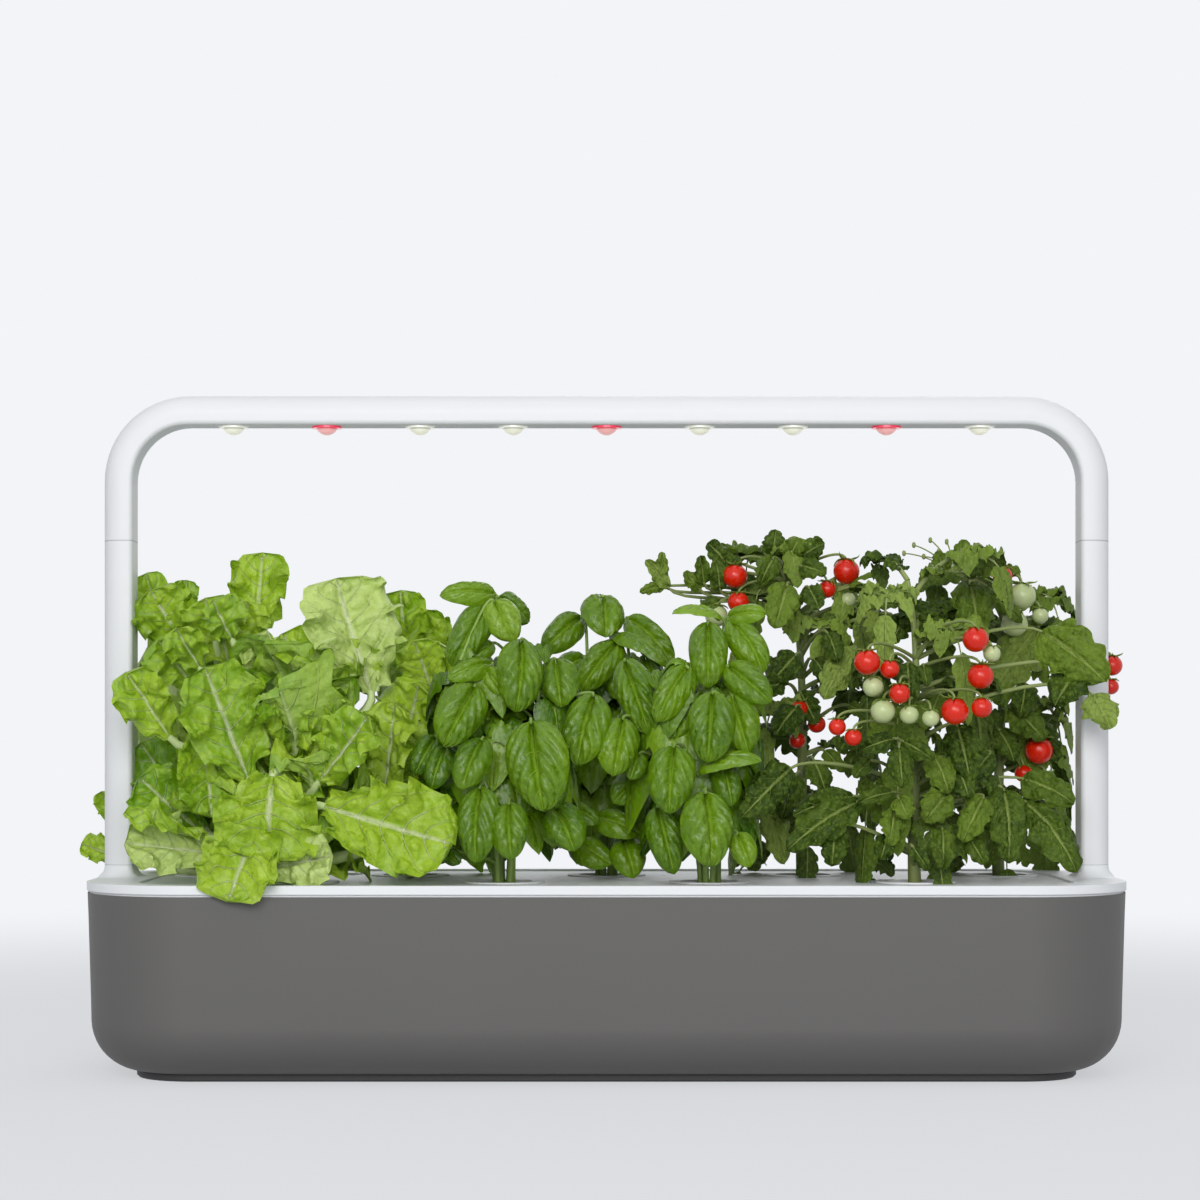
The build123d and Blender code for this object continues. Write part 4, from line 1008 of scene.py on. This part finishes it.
def growTomato(growth, podX, podY, share, rng):
    # a main stem with leaves turned by the golden angle
    base = np.array((podX, podY, mediumTop))
    height = tomato["height"] * share
    shortest, longest = tomato["reach"]
    top = base + (rng.uniform(-14, 14), rng.uniform(-4, 8), height)
    path = curve([base - (0, 0, 4), base + (-3, 0, 0.35 * height), base + (6, 0, 0.7 * height), top], 30)
    growth.tube(path, np.linspace(4.0, 1.3, 30), 0.6, sides=10)
    nodeCount = int(height / tomato["nodeGap"])
    for node in range(1, nodeCount + 1):
        place = node / nodeCount
        knot = path[min(2 + int(place * 27), 29)]
        reach = shortest + (longest - shortest) * math.sin(math.pi * place * 0.8)
        reach *= 0.6 if node == nodeCount else rng.uniform(0.85, 1.1)
        way = goldenAngle * node + rng.uniform(-15, 15)
        rise = 8 + 34 * place + rng.uniform(-10, 10)
        compoundLeaf(growth, knot, way, rise, reach, rng, rng.uniform(0, 1), rng.uniform(50, 95))
    return [path]


def leafFinish(name, form, look):
    # Two greens mixed by a cloud and by the leaf's tone, paler on the palest leaves; on the placed leaves
    # the tone is partly painted shade, low where a leaf sits in shade. A pale midrib narrows along the
    # leaf, and side veins lie where (along - slope * across^1.35) * count is half way between whole
    # numbers. The underside is duller.
    # Puckers between the small veins are bump, and the green is painted lighter on their crowns than in
    # their
    # hollows: painted shade and highlight.
    skin = Surface(name)
    deep, bright, pale, under = [srgb(*green) for green in look["greens"]]
    across = skin.calc("ABSOLUTE", skin.axis("X", skin.leafMap()) - 0.5) * 2.0
    along = skin.axis("Y", skin.leafMap())
    tone = skin.mark("tone")
    below = skin.mark("under")
    cloud = skin.noise(45.0, 3.0)
    fine = skin.noise(420.0, 3.0, 0.6)
    cells = {"Vector": skin.place(), "Scale": look["pucker"], "Smoothness": 0.6}
    cells = skin.node("ShaderNodeTexVoronoi", {"feature": "SMOOTH_F1"}, cells)
    puckers = 1.0 - Number(skin, cells.outputs["Distance"])
    midrib = skin.step(across + along * 0.05, 0.11, 0.03)
    row = skin.calc("FRACT", (along - across**1.35 * form["veinSlope"]) * form["veins"] + 1.0)
    veins = skin.step(skin.calc("ABSOLUTE", row - 0.5), 0.06, 0.012) * (1.0 - across) * 0.7
    # the tone darkens the placed leaves that sit in shade: partly painted shade
    green = skin.mix(skin.clamp(cloud * 1.1 + tone - 0.55), deep, bright)
    green = skin.mix(skin.clamp(fine * 0.5 - 0.12), green, bright)
    # painted shade and highlight: the green is lighter on the pucker crowns and darker in their hollows
    green = skin.mix(skin.clamp(puckers * 1.4 - 0.7) * 0.7, green, bright)
    green = skin.mix(skin.step(tone, 0.72, 1.0) * 0.4, green, pale)
    green = skin.mix(skin.clamp(midrib + veins) * 0.75, green, pale)
    green = skin.mix(below * 0.6, green, under)
    height = puckers * 0.7 + fine * 0.3 - skin.clamp(midrib + veins) * 0.5
    shell = skin.principled(
        Base_Color=green,
        Roughness=fine * 0.15 + cloud * 0.1 + below * 0.15 + (look["roughness"] - 0.12),
        Coat_Weight=look["coat"],
        Coat_Roughness=0.25,
        Specular_IOR_Level=look["shine"],
        Normal=skin.bump(height, 0.8, look["depth"]),
    )
    glow = skin.node("ShaderNodeBsdfTranslucent", None, {"Color": bright}).outputs[0]
    both = skin.node("ShaderNodeMixShader", None, {0: look["through"], 1: shell, 2: glow})
    return skin.finish(both.outputs[0])


def stalkFinish(name, low, high):
    # Two tones mixed by a cloud; a fine cloud roughens the stalk and is its bump
    skin = Surface(name)
    cloud = skin.noise(60.0, 3.0)
    fine = skin.noise(700.0, 2.0)
    return skin.finish(
        skin.principled(
            Base_Color=skin.mix(cloud, low, high),
            Roughness=fine * 0.2 + 0.45,
            Normal=skin.bump(fine, 0.4, 0.0002),
        )
    )


kinds = {
    "lettuce": {
        "grow": growLettuce,
        "facts": lettuce,
        "hold": {"arch": -0.02, "curl": 0.05, "stalk": (5.0, 2.2), "below": 20},
        "stalk": stalkFinish("lettuceRib", srgb(176, 204, 110), srgb(224, 234, 184)),
    },
    "basil": {
        "grow": growBasil,
        "facts": basil,
        "hold": {"arch": 0.2, "curl": -0.04, "stalk": (1.1, 0.9), "below": 8},
        "stalk": stalkFinish("basilStem", srgb(104, 140, 50), srgb(158, 184, 96)),
    },
    "tomato": {
        "grow": growTomato,
        "facts": tomato,
        "hold": {"arch": 0.14, "curl": -0.05, "stalk": (1.6, 0.8), "below": 12},
        "stalk": stalkFinish("tomatoStem", srgb(112, 132, 66), srgb(160, 172, 104)),
    },
}

# each fruit: x, forward, height above the medium, diameter
ripeFruit = {
    4: ((78, 4, 184, 15), (80, 6, 168, 13), (146, 2, 187, 16), (134, 4, 176, 11),
        (117, 5, 103, 11), (128, 0, 94, 11), (116, 2, 84, 10)),
    5: ((241, 2, 184, 12), (263, 3, 78, 17), (254, 0, 64, 11), (310, -12, 130, 13), (309, -10, 117, 10)),
    9: ((132, 2, 92, 10), (141, 4, 86, 10), (149, 4, 129, 15), (162, 3, 125, 11), (167, 9, 111, 12),
        (199, 5, 101, 16), (214, 8, 103, 12), (211, 4, 142, 15), (214, 2, 121, 15)),
}
greenFruit = {
    4: ((67, 0, 160, 14), (147, -4, 170, 10)),
    5: ((253, 1, 172, 17), (248, 4, 155, 16), (264, 2, 160, 10), (268, -2, 60, 10)),
    9: ((153, -2, 115, 12), (158, 4, 101, 14), (173, 4, 99, 11), (185, 7, 97, 10), (221, -1, 134, 10)),
}
# pod: x and forward, height of the spray's root, then x and height of each bud
budSprays = {
    5: ((212, 0, 186), (181, 198), (187, 203), (193, 196), (197, 206), (202, 199), (207, 205)),
}
fruiting = {
    "forward": 33.0,  # how far in front of its row the fruit hangs
    "rowLean": 11.0,  # how much further out the row of fruit is than the row of pods
    "sepals": 5,
    "budRadius": 1.5,
}


def fruitFinish(name, low, high, blush):
    # skin colour by a slow cloud, blushed round the top of each fruit, with a wet gloss
    skin = Surface(name)
    cloud = skin.noise(90.0, 2.0)
    fine = skin.noise(900.0, 2.0)
    top = skin.step(skin.axis("Y", skin.leafMap()) + cloud * 0.12, 0.3, 0.08)
    return skin.finish(
        skin.principled(
            Base_Color=skin.mix(top * 0.6, skin.mix(cloud, low, high), blush),
            Roughness=fine * 0.08 + 0.24,
            Specular_IOR_Level=0.35,
            Coat_Weight=0.2,
            Coat_Roughness=0.12,
            Normal=skin.bump(fine, 0.1, 0.0002),
        )
    )


ripeSkin = fruitFinish("ripeTomato", srgb(202, 14, 0), srgb(236, 44, 0), srgb(232, 88, 14))
greenSkin = fruitFinish("greenTomato", srgb(176, 194, 128), srgb(206, 216, 166), srgb(140, 168, 84))


def fruitPieces(number, podY, growth, stems, rng):
    # a fruit's radius dips at the stalk and swells in five soft lobes round it
    side = 1 if podY > 0 else -1
    for kindName, table, skin, slot in (
        ("ripe", ripeFruit, ripeSkin, "tomato_ripe"), ("green", greenFruit, greenSkin, "tomato_green"),
    ):
        fruit = Growth()
        for x, forward, height, diameter in table[number]:
            depth = podY + side * fruiting["rowLean"] - fruiting["forward"] - forward
            centre = np.array((x, depth, mediumTop + height), float)
            turned = rng.uniform(0, 6)
            radius = diameter / 2

            def reach(polar, turn, radius=radius, turned=turned):
                lobes = 0.018 * np.cos(5 * turn + turned) * np.exp(-((polar / 0.9) ** 2))
                dip = 0.12 * np.exp(-((polar / 0.28) ** 2))
                return radius * (0.985 - dip + lobes - 0.02 * np.cos(2 * polar))

            fruit.ball(centre, reach, rng.uniform(0, 1))
            crown = centre + (0, 0, radius * 0.86)
            knot = nearest(stems, crown, -6)
            way = unit((knot - crown) * (1, 1, 0))
            leave = knot + (crown - knot) * 0.45 + (0, 0, 7)
            path = curve([knot, leave, crown + way * 2 + (0, 0, 8), crown], 12)
            growth.tube(path, np.linspace(1.2, 0.7, 12), 0.6, sides=6)
            for k in range(fruiting["sepals"]):
                turn = 360 / fruiting["sepals"] * k + math.degrees(turned)
                tip = crown + heading(turn, rng.uniform(-30, 35)) * radius * 1.15
                spread = [crown, crown + heading(turn, 20) * radius * 0.5,
                          crown + heading(turn, 5) * radius * 0.9, tip]
                blade(growth, sepal, spread, (0, 0, 1), radius * 0.42, rng, 0.9)
        piece = fruit.build(f"{kindName}Fruit_{number}", (skin,))
        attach(piece, f"pod_{number}")
        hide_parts(f"{kindName}_tomatoes_{number}")


def budReach(polar, turn):  # radius of a bud, a little longer than wide
    return fruiting["budRadius"] * (1 + 0.25 * np.cos(2 * polar) + 0 * turn)


def budSpray(number, podY, growth, stems):
    # thin stalks that fan out from one root, each with a bud on its end
    (x, forward, height), *tips = budSprays[number]
    depth = podY + fruiting["rowLean"] - fruiting["forward"] - forward
    root = np.array((x, depth, mediumTop + height), float)
    knot = nearest(stems, root, 0)
    growth.tube(curve([knot, (knot + root) / 2 + (0, 0, 6), root], 8), 0.8, 0.6, sides=6)
    for tipX, tipHeight in tips:
        tip = np.array((tipX, depth - 2, mediumTop + tipHeight), float)
        growth.tube(curve([root, (root + tip) / 2 + (0, 0, 5), tip], 8), 0.45, 0.7, sides=6)
        growth.ball(tip, budReach, 0.9, 1, 7, 8)


for kindName, kind in kinds.items():
    kind["leaf"] = leafFinish(f"{kindName}Leaf", kind["facts"]["form"], kind["facts"]["look"])
lowest, highest = cellHeights
firstSeed = 40
for number, (kindName, low, high, share) in pods.items():
    podX, podY, _ = podTop(number)
    kind = kinds[kindName]
    facts = kind["facts"]
    rng = np.random.default_rng(firstSeed + number)
    growth = Growth()
    stems = kind["grow"](growth, podX, podY, share, rng)
    growth.draw(cellFit((*low, lowest), (*high, highest)))
    for closeUp, leaves in facts["placed"].items():
        for pod, *leaf in leaves:
            if pod == number:
                placedLeaf(growth, facts["form"], closeUp, leaf, stems, rng, **kind["hold"])
    if kindName == "tomato":
        fruitPieces(number, podY, growth, stems, rng)
    if number in budSprays:
        budSpray(number, podY, growth, stems)
    piece = growth.build(f"{kindName}_{number}", (kind["leaf"], kind["stalk"]))
    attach(piece, f"pod_{number}")
    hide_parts(f"plant_{number}")
    print(kindName, number, "grown,", len(piece.data.polygons), "faces")


plug = {
    "radius": 16.6, "foot": 64.0, "footRadius": 14.6, "lump": 0.7, "sides": 48,
    "axis": 0.02,              # the closed middle of its foot and top
    "topRings": (11, 6, 2.5),
}


def plugFinish():
    # Peat: dark and brown mixed by a crumbly noise, with fine fibres in the roughness and the bump
    skin = Surface("growthPlug")
    crumbs = skin.noise(520.0, 4.0, 0.7)
    fibres = skin.noise(1600.0, 2.0)
    return skin.finish(
        skin.principled(
            Base_Color=skin.mix(crumbs, srgb(46, 34, 26), srgb(104, 82, 60)),
            Roughness=fibres * 0.15 + 0.8,
            Normal=skin.bump(crumbs * 0.7 + fibres * 0.3, 0.9, 0.0012),
        )
    )


plugSkin = plugFinish()
for number in pods:
    # a plug turned round its axis: out along the foot, up the side, and in over a crumbly top
    podX, podY, top = podTop(number)
    wide, foot, sides = plug["radius"], plug["foot"], plug["sides"]
    outline = np.array(
        [(plug["axis"], foot), (plug["footRadius"], foot), (wide - 0.6, top - 3.5), (wide, top - 1.2),
         (wide - 0.8, top), *((ring, top) for ring in plug["topRings"]), (plug["axis"], top)]
    )
    turn = np.linspace(0, 2 * np.pi, sides, endpoint=False)[None]
    radius, height = outline[:, :1], outline[:, 1:]
    crumb = plug["lump"] * np.sin(9 * turn + radius + number) * np.sin(5 * turn - radius * 1.3)
    height = height + np.where((height > top - 0.1) & (radius > 1), crumb - plug["lump"], 0)
    points = np.stack(
        (podX + radius * np.cos(turn), podY + radius * np.sin(turn), height + 0 * turn), axis=-1
    )
    medium = Growth()
    medium.add(points, evenMap(len(outline), sides), 0.5, 0.0, ringQuads(len(outline), sides), 0)
    piece = medium.build(f"growthPlug_{number}", (plugSkin,))
    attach(piece, f"pod_{number}")
    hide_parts(f"growth_medium_{number}")
print("fruit and plugs built")
